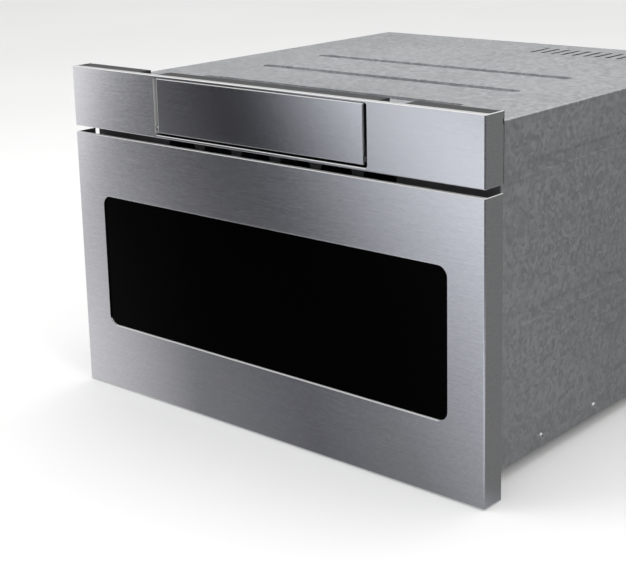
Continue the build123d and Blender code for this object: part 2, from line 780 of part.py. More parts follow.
x_capacitor = -half_inside + capacitor_width / 2 + skin_bend + wrapper_flange
y_capacitor = y_magnetron + capacitor_thickness / 2 + wave_sheet
with BuildPart() as high_voltage_capacitor:
    # oval can standing on end in its clamp, with two blades on top
    with BuildSketch(Plane.XY.offset(z_floor)):
        with Locations((x_capacitor, y_capacitor)):
            SlotOverall(capacitor_width, capacitor_thickness)
    extrude(amount=capacitor_length)
    fillet(high_voltage_capacitor.faces().sort_by(Axis.Z)[-1].edges(), radius=skin_bend)
    with BuildSketch(Plane.XY.offset(z_floor + capacitor_length / 3)):
        with Locations((x_capacitor, y_capacitor)):
            SlotOverall(capacitor_width + 2 * wave_sheet, capacitor_thickness + 2 * wave_sheet)
    extrude(amount=wrapper_flange)
    for side in (-1, 1):
        x_blade = x_capacitor + side * capacitor_width / 5
        block(
            x_blade - wave_sheet / 2,
            x_blade + wave_sheet / 2,
            y_capacitor - 3 * wave_sheet,
            y_capacitor + 3 * wave_sheet,
            z_floor + capacitor_length - wave_sheet,
            z_floor + capacitor_length + wrapper_flange,
        )
write(high_voltage_capacitor.part, "high_voltage_capacitor")

fan_tunnel_radius = fan_radius + fan_tip_gap
y_tunnel = y_wrap - fan_tunnel
with BuildPart() as fan_housing:
    # round tunnel on a square flange against the back panel, with spokes that carry the motor
    half_flange = fan_tunnel_radius + fan_flange
    with BuildSketch(seat(fan_x, y_wrap, fan_height, (0, -1, 0))):
        RectangleRounded(2 * half_flange, 2 * half_flange, fan_flange)
        Circle(fan_tunnel_radius, mode=Mode.SUBTRACT)
    extrude(amount=2 * duct_wall)
    with BuildSketch(seat(fan_x, y_wrap, fan_height, (0, -1, 0))):
        Circle(fan_tunnel_radius + duct_wall)
        Circle(fan_tunnel_radius, mode=Mode.SUBTRACT)
    extrude(amount=fan_tunnel)
    with BuildSketch(seat(fan_x, y_tunnel, fan_height, (0, 1, 0))):
        Circle(fan_motor_radius + duct_wall)
        with PolarLocations((fan_tunnel_radius + fan_motor_radius) / 2, 3):
            Rectangle(fan_tunnel_radius - fan_motor_radius, fan_flange)
        Circle(fan_motor_radius + shaft_clearance, mode=Mode.SUBTRACT)
    extrude(amount=2 * duct_wall)
write(fan_housing.part, "fan_housing")

with BuildPart() as fan_motor:
    # can motor held in the spokes' ring, with its bearing boss towards the blades
    with BuildSketch(seat(fan_x, y_tunnel + 2 * duct_wall, fan_height, (0, -1, 0))):
        Circle(fan_motor_radius)
    extrude(amount=fan_motor_length)
    fillet(fan_motor.faces().sort_by(Axis.Y)[0].edges(), radius=2 * skin_bend)
    with BuildSketch(seat(fan_x, y_tunnel + 2 * duct_wall, fan_height, (0, 1, 0))):
        Circle(2 * shaft_radius)
    extrude(amount=duct_wall)
    with BuildSketch(seat(fan_x, y_tunnel + 3 * duct_wall, fan_height, (0, -1, 0))):
        Circle(stirrer_shaft_radius + shaft_clearance)
    extrude(amount=fan_motor_length / 2, mode=Mode.SUBTRACT)
write(fan_motor.part, "fan_motor")

y_fan = y_tunnel + 3 * duct_wall + running_gap
with BuildPart() as fan_blade:
    # hub, raked blades and the shaft that turns in the motor
    with BuildSketch(seat(fan_x, y_fan, fan_height, (0, 1, 0))):
        Circle(fan_hub_radius)
    extrude(amount=fan_depth)
    fillet(fan_blade.faces().sort_by(Axis.Y)[-1].edges(), radius=skin_bend)
    for turn in range(fan_blades):
        spoke = Vector(1, 0, 0).rotate(Axis.Y, 360 * turn / fan_blades)
        root = Vector(fan_x, y_fan + fan_depth / 2, fan_height)
        across = Vector(0, 1, 0).rotate(Axis((0, 0, 0), spoke), 50)
        blade_plane = Plane(origin=root, x_dir=spoke, z_dir=across)
        with BuildSketch(blade_plane):
            with Locations(((fan_hub_radius + fan_radius) / 2 - duct_wall, 0)):
                RectangleRounded(fan_radius - fan_hub_radius, fan_depth, fan_depth / 4)
        extrude(amount=duct_wall / 2, both=True)
    with BuildSketch(seat(fan_x, y_fan + duct_wall, fan_height, (0, -1, 0))):
        Circle(stirrer_shaft_radius)
    extrude(amount=fan_motor_length / 2)
write(fan_blade.part, "fan_blade")

duct_low = fan_height - fan_tunnel_radius - duct_wall
duct_high = fan_height + fan_tunnel_radius + duct_wall
x_duct_end = fan_x + fan_tunnel_radius + duct_wall
y_duct = y_cavity_back + sheet + 2 * duct_wall
with BuildPart() as air_duct:
    # box that turns the fan's air across to the magnetron's fins
    block(magnetron_width / 2, x_duct_end, y_duct, y_tunnel, duct_low, duct_high)
    duct_bend = min(2 * tub_corner, 0.4 * (y_tunnel - y_duct))
    fillet(air_duct.edges().filter_by(Axis.Z).group_by(Axis.X)[-1], radius=duct_bend)
    offset(amount=-duct_wall, openings=air_duct.faces().sort_by(Axis.X)[0])
    with BuildSketch(seat(fan_x, y_tunnel, fan_height, (0, -1, 0))):
        Circle(fan_tunnel_radius)
    extrude(amount=2 * duct_wall, mode=Mode.SUBTRACT)
write(air_duct.part, "air_duct")

vent_half = slot_pitch * slot_count / 2
vent_rise = 1.6 * slot_height
with BuildPart() as vent_duct:
    # flattened chute that brings spent air to the front slots
    with BuildSketch(front_plane(y_body + 3 * slot_height)):
        with Locations((0, slot_centre)):
            RectangleRounded(2 * vent_half, vent_rise, skin_bend)
            RectangleRounded(
                2 * (vent_half - duct_wall), vent_rise - 2 * duct_wall, skin_bend / 2, mode=Mode.SUBTRACT
            )
    extrude(amount=3 * slot_height)
    with BuildSketch(front_plane(y_body + 3 * slot_height)):
        with Locations((0, slot_centre)):
            with GridLocations(slot_pitch, 1, slot_count - 1, 1):
                Rectangle(duct_wall, vent_rise)
    extrude(amount=3 * slot_height)
    # feet down to the cavity's roof
    for side in (-1, 1):
        x_foot = side * vent_half / 2
        block(
            x_foot - wrapper_flange,
            x_foot + wrapper_flange,
            y_body + slot_height,
            y_body + slot_height + duct_wall,
            z_deck,
            slot_centre - vent_rise / 2,
        )
write(vent_duct.part, "vent_duct")

x_lamp = half_cavity + sheet
with BuildPart() as oven_lamp:
    # lamp holder on the cavity's side, with its glass envelope towards the holes
    block(
        x_lamp,
        x_lamp + duct_wall,
        y_lamp - lamp_plate_width / 2,
        y_lamp + lamp_plate_width / 2,
        lamp_height - lamp_plate_height / 2,
        lamp_height + lamp_plate_height / 2,
    )
    with BuildSketch(seat(x_lamp + duct_wall, y_lamp, lamp_height, (1, 0, 0))):
        Circle(lamp_radius)
    extrude(amount=lamp_length)
    chamfer(oven_lamp.faces().sort_by(Axis.X)[-1].edges(), length=lamp_shoulder)
    for lug in (-1, 1):
        block(
            x_lamp + lamp_length,
            x_lamp + lamp_length + blade_length,
            y_lamp + (lug * blade_pitch - blade_thickness) / 2,
            y_lamp + (lug * blade_pitch + blade_thickness) / 2,
            lamp_height - blade_width / 2,
            lamp_height + blade_width / 2,
        )
write(oven_lamp.part, "oven_lamp")

x_board = -wave_width / 2 - wrapper_flange - board_width / 2 - wrapper_flange
y_board = cavity_mid_y + board_length / 4
z_board = z_deck + board_standoff
with BuildPart() as power_board:
    # circuit board on posts above the cavity: relays, mains filter, heat sink, plugs
    block(
        x_board - board_width / 2,
        x_board + board_width / 2,
        y_board - board_length / 2,
        y_board + board_length / 2,
        z_board,
        z_board + board_thickness,
    )
    with BuildSketch(Plane.XY.offset(z_deck)):
        with Locations((x_board, y_board)):
            with GridLocations(board_width - 2 * board_post_inset, board_length - 2 * board_post_inset, 2, 2):
                Circle(board_post_radius)
    extrude(amount=board_standoff)
    on_board = Plane(origin=(x_board, y_board, z_board + board_thickness))
    with BuildSketch(on_board):
        with Locations((board_width / 5, -board_length / 4)):
            with GridLocations(relay_width + relay_gap, relay_length + relay_gap, 3, 2):
                Rectangle(relay_width, relay_length)
    extrude(amount=relay_height)
    with BuildSketch(on_board):
        with Locations((-board_width / 4, board_length / 5)):
            RectangleRounded(choke_width, choke_length, skin_bend)
    extrude(amount=choke_height)
    with BuildSketch(on_board):
        with Locations((board_width / 5, board_length / 4)):
            with GridLocations(can_pitch, 1, 2, 1):
                Circle(can_radius)
    extrude(amount=can_height)
    with BuildSketch(on_board):
        with Locations((-board_width / 3, -board_length / 4)):
            with GridLocations(sink_fin_pitch, 1, sink_fin_count, 1):
                Rectangle(sink_fin_thickness, sink_length)
            Rectangle(sink_fin_pitch * sink_fin_count, 3 * sink_fin_thickness)
    extrude(amount=sink_height)
    with BuildSketch(on_board):
        with Locations((0, board_length / 2 - plug_length)):
            with GridLocations(plug_pitch, 1, plug_count, 1):
                Rectangle(plug_width, plug_length)
    extrude(amount=plug_height)
write(power_board.part, "power_board")

# ---------------------------------------------------------------- slides


def slide_bar(u0, u1, v0, v1):
    """Two mirrored bars of a right slide's section: u inwards from the cabinet side, v off the centre line."""
    for way in (-1, 1):
        low = slide_centre + min(way * v0, way * v1)
        high = slide_centre + max(way * v0, way * v1)
        pane(half_inside - u1, half_inside - u0, low, high)


nest = slide_sheet + running_gap
outer_v = slide_height / 2
outer_u = slide_width - slide_nose
middle_v = outer_v - nest
middle_u = outer_u - nest
middle_lip = slide_lip - running_gap
inner_v = middle_v - nest
inner_web_v = middle_v - slide_sheet - middle_lip - running_gap
with BuildPart() as rail_outer_right:
    # fixed C-section against the cabinet side
    with BuildSketch(front_plane(y_slide + slide_length)):
        slide_bar(0, slide_sheet, 0, outer_v)
        slide_bar(0, outer_u, outer_v - slide_sheet, outer_v)
        slide_bar(outer_u - slide_sheet, outer_u, outer_v - slide_sheet - slide_lip, outer_v)
    extrude(amount=slide_length)
write(rail_outer_right.part, "rail_outer_right")

with BuildPart() as rail_middle_right:
    # floating member held by the outer one's lips, with its end stops
    with BuildSketch(front_plane(y_slide + slide_length)):
        slide_bar(nest, nest + slide_sheet, 0, middle_v)
        slide_bar(nest, middle_u, middle_v - slide_sheet, middle_v)
        slide_bar(middle_u - slide_sheet, middle_u, middle_v - slide_sheet - middle_lip, middle_v)
    extrude(amount=slide_length)
write(rail_middle_right.part, "rail_middle_right")

with BuildPart() as rail_inner_right:
    # hat section on the support arm, its brims held by the middle member
    with BuildSketch(front_plane(y_slide + slide_length)):
        slide_bar(slide_width - slide_sheet, slide_width, 0, inner_web_v)
        slide_bar(2 * nest, slide_width, inner_web_v - slide_sheet, inner_web_v)
        slide_bar(2 * nest, 2 * nest + slide_sheet, inner_web_v - slide_sheet, inner_v)
    extrude(amount=slide_length)
write(rail_inner_right.part, "rail_inner_right")

x_arm_face = half_inside - slide_width
arm_low = slide_centre - slide_height / 2
arm_top = slide_centre + slide_height / 2
arm_length = cavity_depth - tub_back_gap
y_arm_head = y_face + arm_flange_thickness
panel_spots = [(half_frame - screw_edge, drawer_front_height * share) for share in (0.25, 0.62)]
panel_spots += [(x, z_frame_top - screw_edge) for x in (body_width / 8, body_width * 3 / 8)]
panel_spots += [(body_width * 3 / 8, skin + 2 * screw_edge)]
arm_spots = [(x_arm_face + arm_flange / 2, slide_centre + step * slide_height / 3) for step in (-1, 1)]
drawer_seats = []
for side in (-1, 1):
    drawer_seats += [seat(side * x, y_face, z, (0, -1, 0)) for x, z in panel_spots]
    drawer_seats += [seat(side * x, y_arm_head, z, (0, -1, 0)) for x, z in arm_spots]
write(screws(drawer_seats), "drawer_screws")

with BuildPart() as support_arm_right:
    # pressed arm that ties the inner slide member to the drawer front
    with BuildSketch(side_plane(x_arm_face)):
        with BuildLine():
            Polyline(
                (y_face, arm_low),
                (y_face + arm_length, arm_low),
                (y_face + arm_length, slide_centre),
                (y_face + arm_length - slide_height / 2, arm_top),
                (y_face, arm_top),
                close=True,
            )
        make_face()
        with Locations((y_face + arm_length / 2, slide_centre)):
            with GridLocations(1.6 * arm_slot_length, 1, 3, 1):
                SlotOverall(arm_slot_length, arm_slot_width, mode=Mode.SUBTRACT)
    extrude(amount=-arm_thickness)
    block(
        x_arm - arm_ledge,
        x_arm_face,
        y_face,
        y_face + arm_length,
        arm_low - arm_thickness,
        arm_low,
    )
    block(
        x_arm_face,
        x_arm_face + arm_flange,
        y_face,
        y_face + arm_flange_thickness,
        arm_low,
        arm_top,
    )
    add(screw_holes(drawer_seats), mode=Mode.SUBTRACT)
write(support_arm_right.part, "support_arm_right")

for source, label in (
    (rail_outer_right, "rail_outer_left"),
    (rail_middle_right, "rail_middle_left"),
    (rail_inner_right, "rail_inner_left"),
    (support_arm_right, "support_arm_left"),
):
    with BuildPart() as twin:
        mirror(source.part, about=Plane.YZ)
    write(twin.part, label)

# ---------------------------------------------------------------- drive
drive_pitch = drive_module * drive_teeth / 2
drive_top = drive_bottom + drive_face
z_gearbox_top = z_floor + gearbox_height
with BuildPart() as drive_pinion:
    # spur pinion on a vertical shaft; a tooth space faces the rack at rest
    add(
        extrude(
            toothed(
                Plane.XY.offset(drive_bottom).shift_origin((0, y_pinion, drive_bottom)),
                drive_teeth,
                drive_module,
                180 / drive_teeth,
                drive_teeth,
                drive_pitch - drive_module * tooth_depth,
            ),
            amount=drive_face,
            mode=Mode.PRIVATE,
        )
    )
    with BuildSketch(Plane.XY.offset(z_gearbox_top + gearbox_boss + running_gap)):
        with Locations((0, y_pinion)):
            Circle(2 * shaft_radius)
    extrude(amount=drive_top - z_gearbox_top - gearbox_boss - running_gap + guide_wall)
    with BuildSketch(Plane.XY.offset(z_floor + gearbox_height / 3)):
        with Locations((0, y_pinion)):
            Circle(shaft_radius)
    extrude(amount=drive_face + gearbox_height)
write(drive_pinion.part, "drive_pinion")

rack_tooth_pitch = pi * drive_module
rack_start = y_face - y_pinion
rack_end = drawer_travel + 2.5 * rack_tooth_pitch
first_tooth = -int(drive_setback / rack_tooth_pitch)
last_tooth = int(rack_end / rack_tooth_pitch)
with BuildPart() as gear_rack:
    # straight rack along the drawer's travel, with a foot against the drawer front
    rack_root = x_rack + drive_module * tooth_depth
    rack_tip = x_rack - drive_module * tooth_height
    half_root = rack_tooth_pitch / 4 + drive_module * tooth_depth * tan(radians(pressure_angle))
    half_tip = rack_tooth_pitch / 4 - drive_module * tooth_height * tan(radians(pressure_angle))
    thin = tooth_thinning * drive_module / 4
    with BuildSketch(mode=Mode.PRIVATE) as rack_tooth:
        with BuildLine():
            Polyline(
                (rack_root + root_overlap, thin - half_root),
                (rack_root, thin - half_root),
                (rack_tip, thin - half_tip),
                (rack_tip, half_tip - thin),
                (rack_root, half_root - thin),
                (rack_root + root_overlap, half_root - thin),
                close=True,
            )
        make_face()
    with BuildSketch(Plane.XY.offset(drive_bottom)):
        pane(rack_root, rack_root + rack_back, y_face, y_pinion + rack_end)
        tooth_rows = [y_pinion + tooth * rack_tooth_pitch for tooth in range(first_tooth, last_tooth + 1)]
        with Locations(*[(0, row) for row in tooth_rows]):
            add(rack_tooth.sketch)
    extrude(amount=drive_face)
    block(
        rack_root,
        rack_root + 3 * rack_back,
        y_face,
        y_face + arm_flange_thickness,
        drive_bottom,
        drive_bottom + drive_face,
    )
write(gear_rack.part, "gear_rack")

x_motor = -motor_offset
with BuildPart() as drive_motor:
    # flat gearbox on the base pan with its motor can beside the pinion
    with BuildSketch(Plane.XY.offset(z_floor)):
        with Locations((0, y_pinion)):
            Circle(gearbox_radius)
        with Locations((x_motor, y_pinion)):
            Circle(motor_radius + skin_bend)
        make_hull()
    extrude(amount=gearbox_height)
    with BuildSketch(Plane.XY.offset(z_floor)):
        with Locations((x_motor, y_pinion)):
            SlotOverall(2 * motor_radius + 2 * wrapper_flange, wrapper_flange)
        with Locations((0, y_pinion + gearbox_radius)):
            Circle(wrapper_flange / 2)
    extrude(amount=arm_thickness)
    with BuildSketch(Plane.XY.offset(z_gearbox_top)):
        with Locations((0, y_pinion)):
            Circle(2 * shaft_radius)
    extrude(amount=gearbox_boss)
    with BuildSketch(Plane.XY.offset(z_gearbox_top)):
        with Locations((x_motor, y_pinion)):
            Circle(motor_radius)
    extrude(amount=motor_height)
    fillet(drive_motor.faces().sort_by(Axis.Z)[-1].edges(), radius=skin_bend)
    with BuildSketch(Plane.XY.offset(z_gearbox_top + gearbox_boss)):
        with Locations((0, y_pinion)):
            Circle(shaft_radius + shaft_clearance)
    extrude(amount=-gearbox_height * 2 / 3 - gearbox_boss - running_gap, mode=Mode.SUBTRACT)
write(drive_motor.part, "drive_motor")

with BuildPart() as rack_guide:
    # moulded guide on the base pan that keeps the rack against the pinion
    guide_inner = rack_root + rack_back + running_gap
    block(
        guide_inner,
        guide_inner + guide_wall,
        y_pinion - guide_length / 2,
        y_pinion + guide_length / 2,
        z_floor,
        drive_top + running_gap + guide_wall,
    )
    block(
        rack_root + 1,
        guide_inner,
        y_pinion - guide_length / 2,
        y_pinion + guide_length / 2,
        drive_top + running_gap,
        drive_top + running_gap + guide_wall,
    )
    block(
        rack_root + 1,
        guide_inner,
        y_pinion - guide_length / 2,
        y_pinion + guide_length / 2,
        drive_bottom - running_gap - guide_wall,
        drive_bottom - running_gap,
    )
    block(
        guide_inner,
        guide_inner + 4 * guide_wall,
        y_pinion - guide_length / 2,
        y_pinion + guide_length / 2,
        z_floor,
        z_floor + guide_wall,
    )
write(rack_guide.part, "rack_guide")

# ---------------------------------------------------------------- interlock
with BuildPart() as interlock_brackets:
    # one moulded sleeve each side behind the front frame, open for the hook
    with BuildSketch(front_plane(y_body + hook_reach + hook_clearance + guide_wall)):
        for side in (-1, 1):
            with Locations((side * x_hook, hook_height)):
                Rectangle(hook_port_width + 2 * guide_wall, hook_port_height + 2 * guide_wall)
                Rectangle(hook_port_width, hook_port_height, mode=Mode.SUBTRACT)
    extrude(amount=hook_reach + hook_clearance + guide_wall)
write(interlock_brackets.part, "interlock_brackets")

z_switch = hook_height + hook_depth / 2 + hook_clearance + guide_wall
switch_spots = [(-x_hook, 0), (x_hook, 0), (x_hook, 1)]
with BuildPart() as interlock_switches:
    # snap-action switches stacked on the sleeves, with their plungers and blades
    for x_switch, level in switch_spots:
        y_switch = y_body + switch_depth
        z_low = z_switch + level * (switch_height + switch_blade)
        block(
            x_switch - switch_width / 2,
            x_switch + switch_width / 2,
            y_body + sheet,
            y_body + sheet + switch_depth,
            z_low,
            z_low + switch_height,
        )
        for blade in range(3):
            y_blade = y_body + 3 * sheet + blade * switch_depth / 3
            block(
                x_switch - sheet,
                x_switch + sheet,
                y_blade,
                y_blade + sheet,
                z_low + switch_height,
                z_low + switch_height + switch_blade,
            )
write(interlock_switches.part, "interlock_switches")

# ---------------------------------------------------------------- drawer front
with BuildPart() as drawer_front_skin:
    # folded stainless facing: deep sides, short returns above and below, rounded window cut-out
    with BuildSketch(front_plane(y_face)):
        pane(-half_front, half_front, 0, drawer_front_height)
    extrude(amount=front_depth)
    fillet(drawer_front_skin.faces().sort_by(Axis.Y)[0].edges().filter_by(Axis.Z), radius=skin_bend)
    fillet(drawer_front_skin.faces().sort_by(Axis.Y)[0].edges().filter_by(Axis.X), radius=skin)
    block(skin - half_front, half_front - skin, y_front + skin, y_face, skin, drawer_front_height - skin,
          mode=Mode.SUBTRACT)
    block(
        skin - half_front,
        half_front - skin,
        y_front + skin_return_top,
        y_face,
        drawer_front_height - skin,
        drawer_front_height,
        mode=Mode.SUBTRACT,
    )
    block(skin - half_front, half_front - skin, y_front + skin_return_bottom, y_face, 0, skin,
          mode=Mode.SUBTRACT)
    with BuildSketch(front_plane(glass_front)):
        with Locations((0, window_mid)):
            RectangleRounded(window_width + 2 * skin, window_height + 2 * skin, window_corner + skin)
    extrude(amount=window_lip - skin / 2)
    with BuildSketch(front_plane(glass_front)):
        with Locations((0, window_mid)):
            RectangleRounded(window_width, window_height, window_corner)
    extrude(amount=2 * window_lip, mode=Mode.SUBTRACT)
    with BuildSketch(side_plane(-half_front)):
        with Locations((y_face, drawer_front_height - notch_drop)):
            RectangleRounded(2 * notch_depth, notch_height, notch_depth * 0.9)
    extrude(amount=front_width, mode=Mode.SUBTRACT)
write(drawer_front_skin.part, "drawer_front_skin")

with BuildPart() as window_glass:
    # black glass bonded behind the cut-out's lip
    with BuildSketch(front_plane(glass_back)):
        with Locations((0, window_mid)):
            RectangleRounded(glass_width, glass_height, window_corner + glass_overlap / 2)
    extrude(amount=glass_thickness)
write(window_glass.part, "window_glass")

y_web = glass_back
y_panel = y_face - sheet
with BuildPart() as door_frame:
    # ribbed moulding that backs the facing, seats the glass and carries the inner panel
    with BuildSketch(front_plane(y_web + frame_wall)):
        pane(-half_frame, half_frame, skin, z_frame_top)
        pane(-half_sight, half_sight, sight_bottom, sight_top, sight_corner, Mode.SUBTRACT)
    extrude(amount=frame_wall)
    with BuildSketch(front_plane(y_panel)):
        pane(-half_frame, half_frame, skin, z_frame_top)
        pane(
            frame_wall - half_frame, half_frame - frame_wall, skin + frame_wall, z_frame_top - frame_wall,
            mode=Mode.SUBTRACT,
        )
    extrude(amount=y_panel - y_front - skin)
    with BuildSketch(front_plane(y_panel)):
        with Locations((0, sight_mid)):
            RectangleRounded(
                sight_width + 2 * frame_wall, sight_height + 2 * frame_wall, sight_corner + frame_wall
            )
            RectangleRounded(sight_width, sight_height, sight_corner, mode=Mode.SUBTRACT)
    extrude(amount=y_panel - y_web)
    with BuildSketch(front_plane(y_web)):
        pane(-half_frame, half_frame, skin, z_frame_top)
        with Locations((0, window_mid)):
            RectangleRounded(glass_width, glass_height, window_corner + glass_overlap / 2, mode=Mode.SUBTRACT)
        with Locations((0, window_mid)):
            RectangleRounded(
                glass_width + 2 * frame_wall,
                glass_height + 2 * frame_wall,
                window_corner + glass_overlap,
                mode=Mode.INTERSECT,
            )
    extrude(amount=y_web - y_front - skin)
    with BuildSketch(front_plane(y_panel)):
        with Locations((0, (skin + z_frame_top) / 2)):
            with GridLocations(rib_pitch, 1, int(2 * half_frame / rib_pitch), 1):
                Rectangle(frame_wall * 0.8, z_frame_top - skin - frame_wall)
        pane(
            -half_sight - frame_wall / 2,
            half_sight + frame_wall / 2,
            sight_bottom - frame_wall / 2,
            sight_top + frame_wall / 2,
            sight_corner,
            Mode.SUBTRACT,
        )
    extrude(amount=y_panel - y_web)
    # bosses for the screws of the inner panel and the arms
    with BuildSketch(front_plane(y_panel)):
        for side in (-1, 1):
            with Locations(*[(side * x, z) for x, z in panel_spots + arm_spots]):
                Circle(screw_boss_radius)
    extrude(amount=y_panel - y_web)
    add(screw_holes(drawer_seats), mode=Mode.SUBTRACT)
write(door_frame.part, "door_frame")

with BuildPart() as window_screen:
    # perforated shield held between the frame's sight wall and the glass
    with BuildSketch(front_plane(y_web + screen_thickness)):
        with Locations((0, sight_mid)):
            RectangleRounded(sight_width - running_gap, sight_height - running_gap, sight_corner)
    extrude(amount=screen_thickness)
write(window_screen.part, "window_screen")

with BuildPart() as inner_panel:
    # rear panel of the drawer front, pressed steel, open at the sight window
    with BuildSketch(front_plane(y_face)):
        pane(-half_frame, half_frame, skin, z_frame_top, skin_bend)
        pane(-half_sight, half_sight, sight_bottom, sight_top, sight_corner, Mode.SUBTRACT)
    extrude(amount=sheet)
    add(screw_holes(drawer_seats), mode=Mode.SUBTRACT)
write(inner_panel.part, "inner_panel")

choke_inner = half_cavity + choke_setback
with BuildPart() as choke_cover:
    # flat moulded ring that covers the microwave choke round the mouth
    with BuildSketch(front_plane(y_face + choke_thickness)):
        pane(
            -choke_inner - choke_band,
            choke_inner + choke_band,
            cavity_floor - choke_setback - choke_band,
            z_ceiling + choke_setback + choke_band,
            cavity_corner + choke_band,
        )
        pane(
            -choke_inner, choke_inner, cavity_floor - choke_setback, z_ceiling + choke_setback, cavity_corner,
            Mode.SUBTRACT,
        )
    extrude(amount=choke_thickness)
write(choke_cover.part, "choke_cover")

with BuildPart() as drawer_tub:
    # pressed tub: floor and three walls, turned rim, flanges to the inner panel
    with BuildSketch(Plane.XY.offset(z_tub)):
        pane(-half_tub, half_tub, y_face, y_tub_back)
    extrude(amount=tub_wall_height)
    fillet(drawer_tub.faces().sort_by(Axis.Y)[-1].edges().filter_by(Axis.Z), radius=tub_corner)
    fillet(drawer_tub.faces().sort_by(Axis.Z)[0].edges() - drawer_tub.faces().sort_by(Axis.Y)[0].edges(),
           radius=tub_bottom_bend)
    offset(
        amount=-sheet,
        openings=[drawer_tub.faces().sort_by(Axis.Z)[-1], drawer_tub.faces().sort_by(Axis.Y)[0]],
    )
    with BuildSketch(Plane.XY.offset(z_tub + tub_wall_height)) as rim:
        pane(-half_tub - tub_rim, half_tub + tub_rim, y_face + 2 * sheet, y_tub_back + tub_rim)
        fillet(rim.vertices().group_by(Axis.Y)[-1], radius=tub_corner + tub_rim)
        with BuildSketch(mode=Mode.SUBTRACT) as rim_hole:
            pane(sheet - half_tub, half_tub - sheet, y_face, y_tub_back - sheet)
            fillet(rim_hole.vertices().group_by(Axis.Y)[-1], radius=tub_corner - sheet)
    extrude(amount=-sheet)
    for side in (-1, 1):
        block(
            min(side * half_tub, side * (half_tub + tub_flange)),
            max(side * half_tub, side * (half_tub + tub_flange)),
            y_face,
            y_face + sheet,
            z_tub + tub_bottom_bend,
            z_tub + tub_wall_height,
        )
write(drawer_tub.part, "drawer_tub")

with BuildPart() as floor_tray:
    # ceramic glass tray on the tub's floor
    with BuildSketch(Plane.XY.offset(z_tub + sheet)):
        with Locations((0, (y_face + y_tub_back) / 2)):
            RectangleRounded(
                2 * (half_tub - tub_bottom_bend - tray_margin),
                y_tub_back - y_face - 2 * (tub_bottom_bend + tray_margin),
                tub_corner,
            )
    extrude(amount=tray_thickness)
    chamfer(floor_tray.faces().sort_by(Axis.Z)[-1].edges(), length=sheet)
write(floor_tray.part, "floor_tray")

with BuildPart() as latch_hooks:
    # barbed hooks that enter the front frame and work the interlock switches
    for side in (-1, 1):
        with BuildSketch(side_plane(side * x_hook - hook_width / 2)):
            with BuildLine():
                Polyline(
                    (y_face, hook_height - hook_depth / 2),
                    (y_face + hook_reach * 0.7, hook_height - hook_depth / 4),
                    (y_face + hook_reach * 0.75, hook_height - hook_depth / 2),
                    (y_face + hook_reach, hook_height - hook_depth / 8),
                    (y_face + hook_reach, hook_height + hook_depth / 8),
                    (y_face + hook_reach * 0.6, hook_height + hook_depth / 4),
                    (y_face, hook_height + hook_depth / 2),
                    close=True,
                )
            make_face()
        extrude(amount=hook_width)
write(latch_hooks.part, "latch_hooks")

x_bumper = half_front - bumper_inset
with BuildPart() as front_bumpers:
    # soft stops between the drawer front and the front frame
    with BuildSketch(front_plane(y_flange - bumper_relief)):
        for side in (-1, 1):
            with Locations((side * x_bumper, bumper_low), (side * x_bumper, bumper_high)):
                Circle(bumper_radius)
    extrude(amount=bumper_gap - bumper_relief)
write(front_bumpers.part, "front_bumpers")

# ---------------------------------------------------------------- fascia
with BuildPart() as fascia_skin:
    # folded stainless facing with the pod's aperture and its turned-in edge
    with BuildSketch(front_plane(y_face)):
        pane(-half_front, half_front, z_fascia, z_top)
    extrude(amount=front_depth)
    fillet(fascia_skin.faces().sort_by(Axis.Y)[0].edges().filter_by(Axis.Z), radius=skin_bend)
    fillet(fascia_skin.faces().sort_by(Axis.Y)[0].edges().filter_by(Axis.X), radius=skin)
    block(skin - half_front, half_front - skin, y_front + skin, y_face, z_fascia + skin, z_top - skin,
          mode=Mode.SUBTRACT)
    for z_low in (z_fascia, z_top - skin):
        block(skin - half_front, half_front - skin, y_front + aperture_return, y_face, z_low, z_low + skin,
              mode=Mode.SUBTRACT)
    with BuildSketch(front_plane(y_front + aperture_return)):
        pane(
            -half_aperture - skin,
            half_aperture + skin,
            z_aperture - skin,
            aperture_top + skin,
            aperture_corner + skin,
        )
    extrude(amount=aperture_return - skin / 2)
    with BuildSketch(front_plane(y_front + aperture_return)):
        pane(-half_aperture, half_aperture, z_aperture, aperture_top, aperture_corner)
    extrude(amount=2 * aperture_return, mode=Mode.SUBTRACT)
    with BuildSketch(side_plane(-half_aperture - 2 * skin)):
        with Locations((y_hinge, z_hinge)):
            Circle(hinge_pin_radius + hinge_hole_clearance)
    extrude(amount=2 * half_aperture + 4 * skin, mode=Mode.SUBTRACT)
    with BuildSketch(side_plane(-half_front)):
        with Locations((y_face, z_top - notch_drop)):
            RectangleRounded(2 * notch_depth, notch_height, notch_depth * 0.9)
    extrude(amount=front_width, mode=Mode.SUBTRACT)
write(fascia_skin.part, "fascia_skin")

x_housing = half_aperture + skin + housing_gap
x_support = x_housing + housing_side + support_setback
with BuildPart() as fascia_support_right:
    # ribbed moulding that holds the fascia off the front frame
    with BuildSketch(front_plane(y_flange)):
        pane(x_support, half_frame, z_fascia + skin, z_top - skin)
        pane(
            x_support + frame_wall,
            half_frame - frame_wall,
            z_fascia + skin + frame_wall,
            z_top - skin - frame_wall,
            mode=Mode.SUBTRACT,
        )
        support_mid = (x_support + half_frame) / 2
        with Locations((support_mid, (z_fascia + z_top) / 2)):
            with GridLocations((half_frame - x_support) / 3, 1, 2, 1):
                Rectangle(frame_wall, fascia_height - 2 * skin)
    extrude(amount=y_flange - y_front - skin)
    with BuildSketch(front_plane(y_front + skin + frame_wall)):
        pane(x_support, half_frame, z_fascia + skin, z_top - skin)
    extrude(amount=frame_wall)
write(fascia_support_right.part, "fascia_support_right")
with BuildPart() as fascia_support_left:
    mirror(fascia_support_right.part, about=Plane.YZ)
write(fascia_support_left.part, "fascia_support_left")

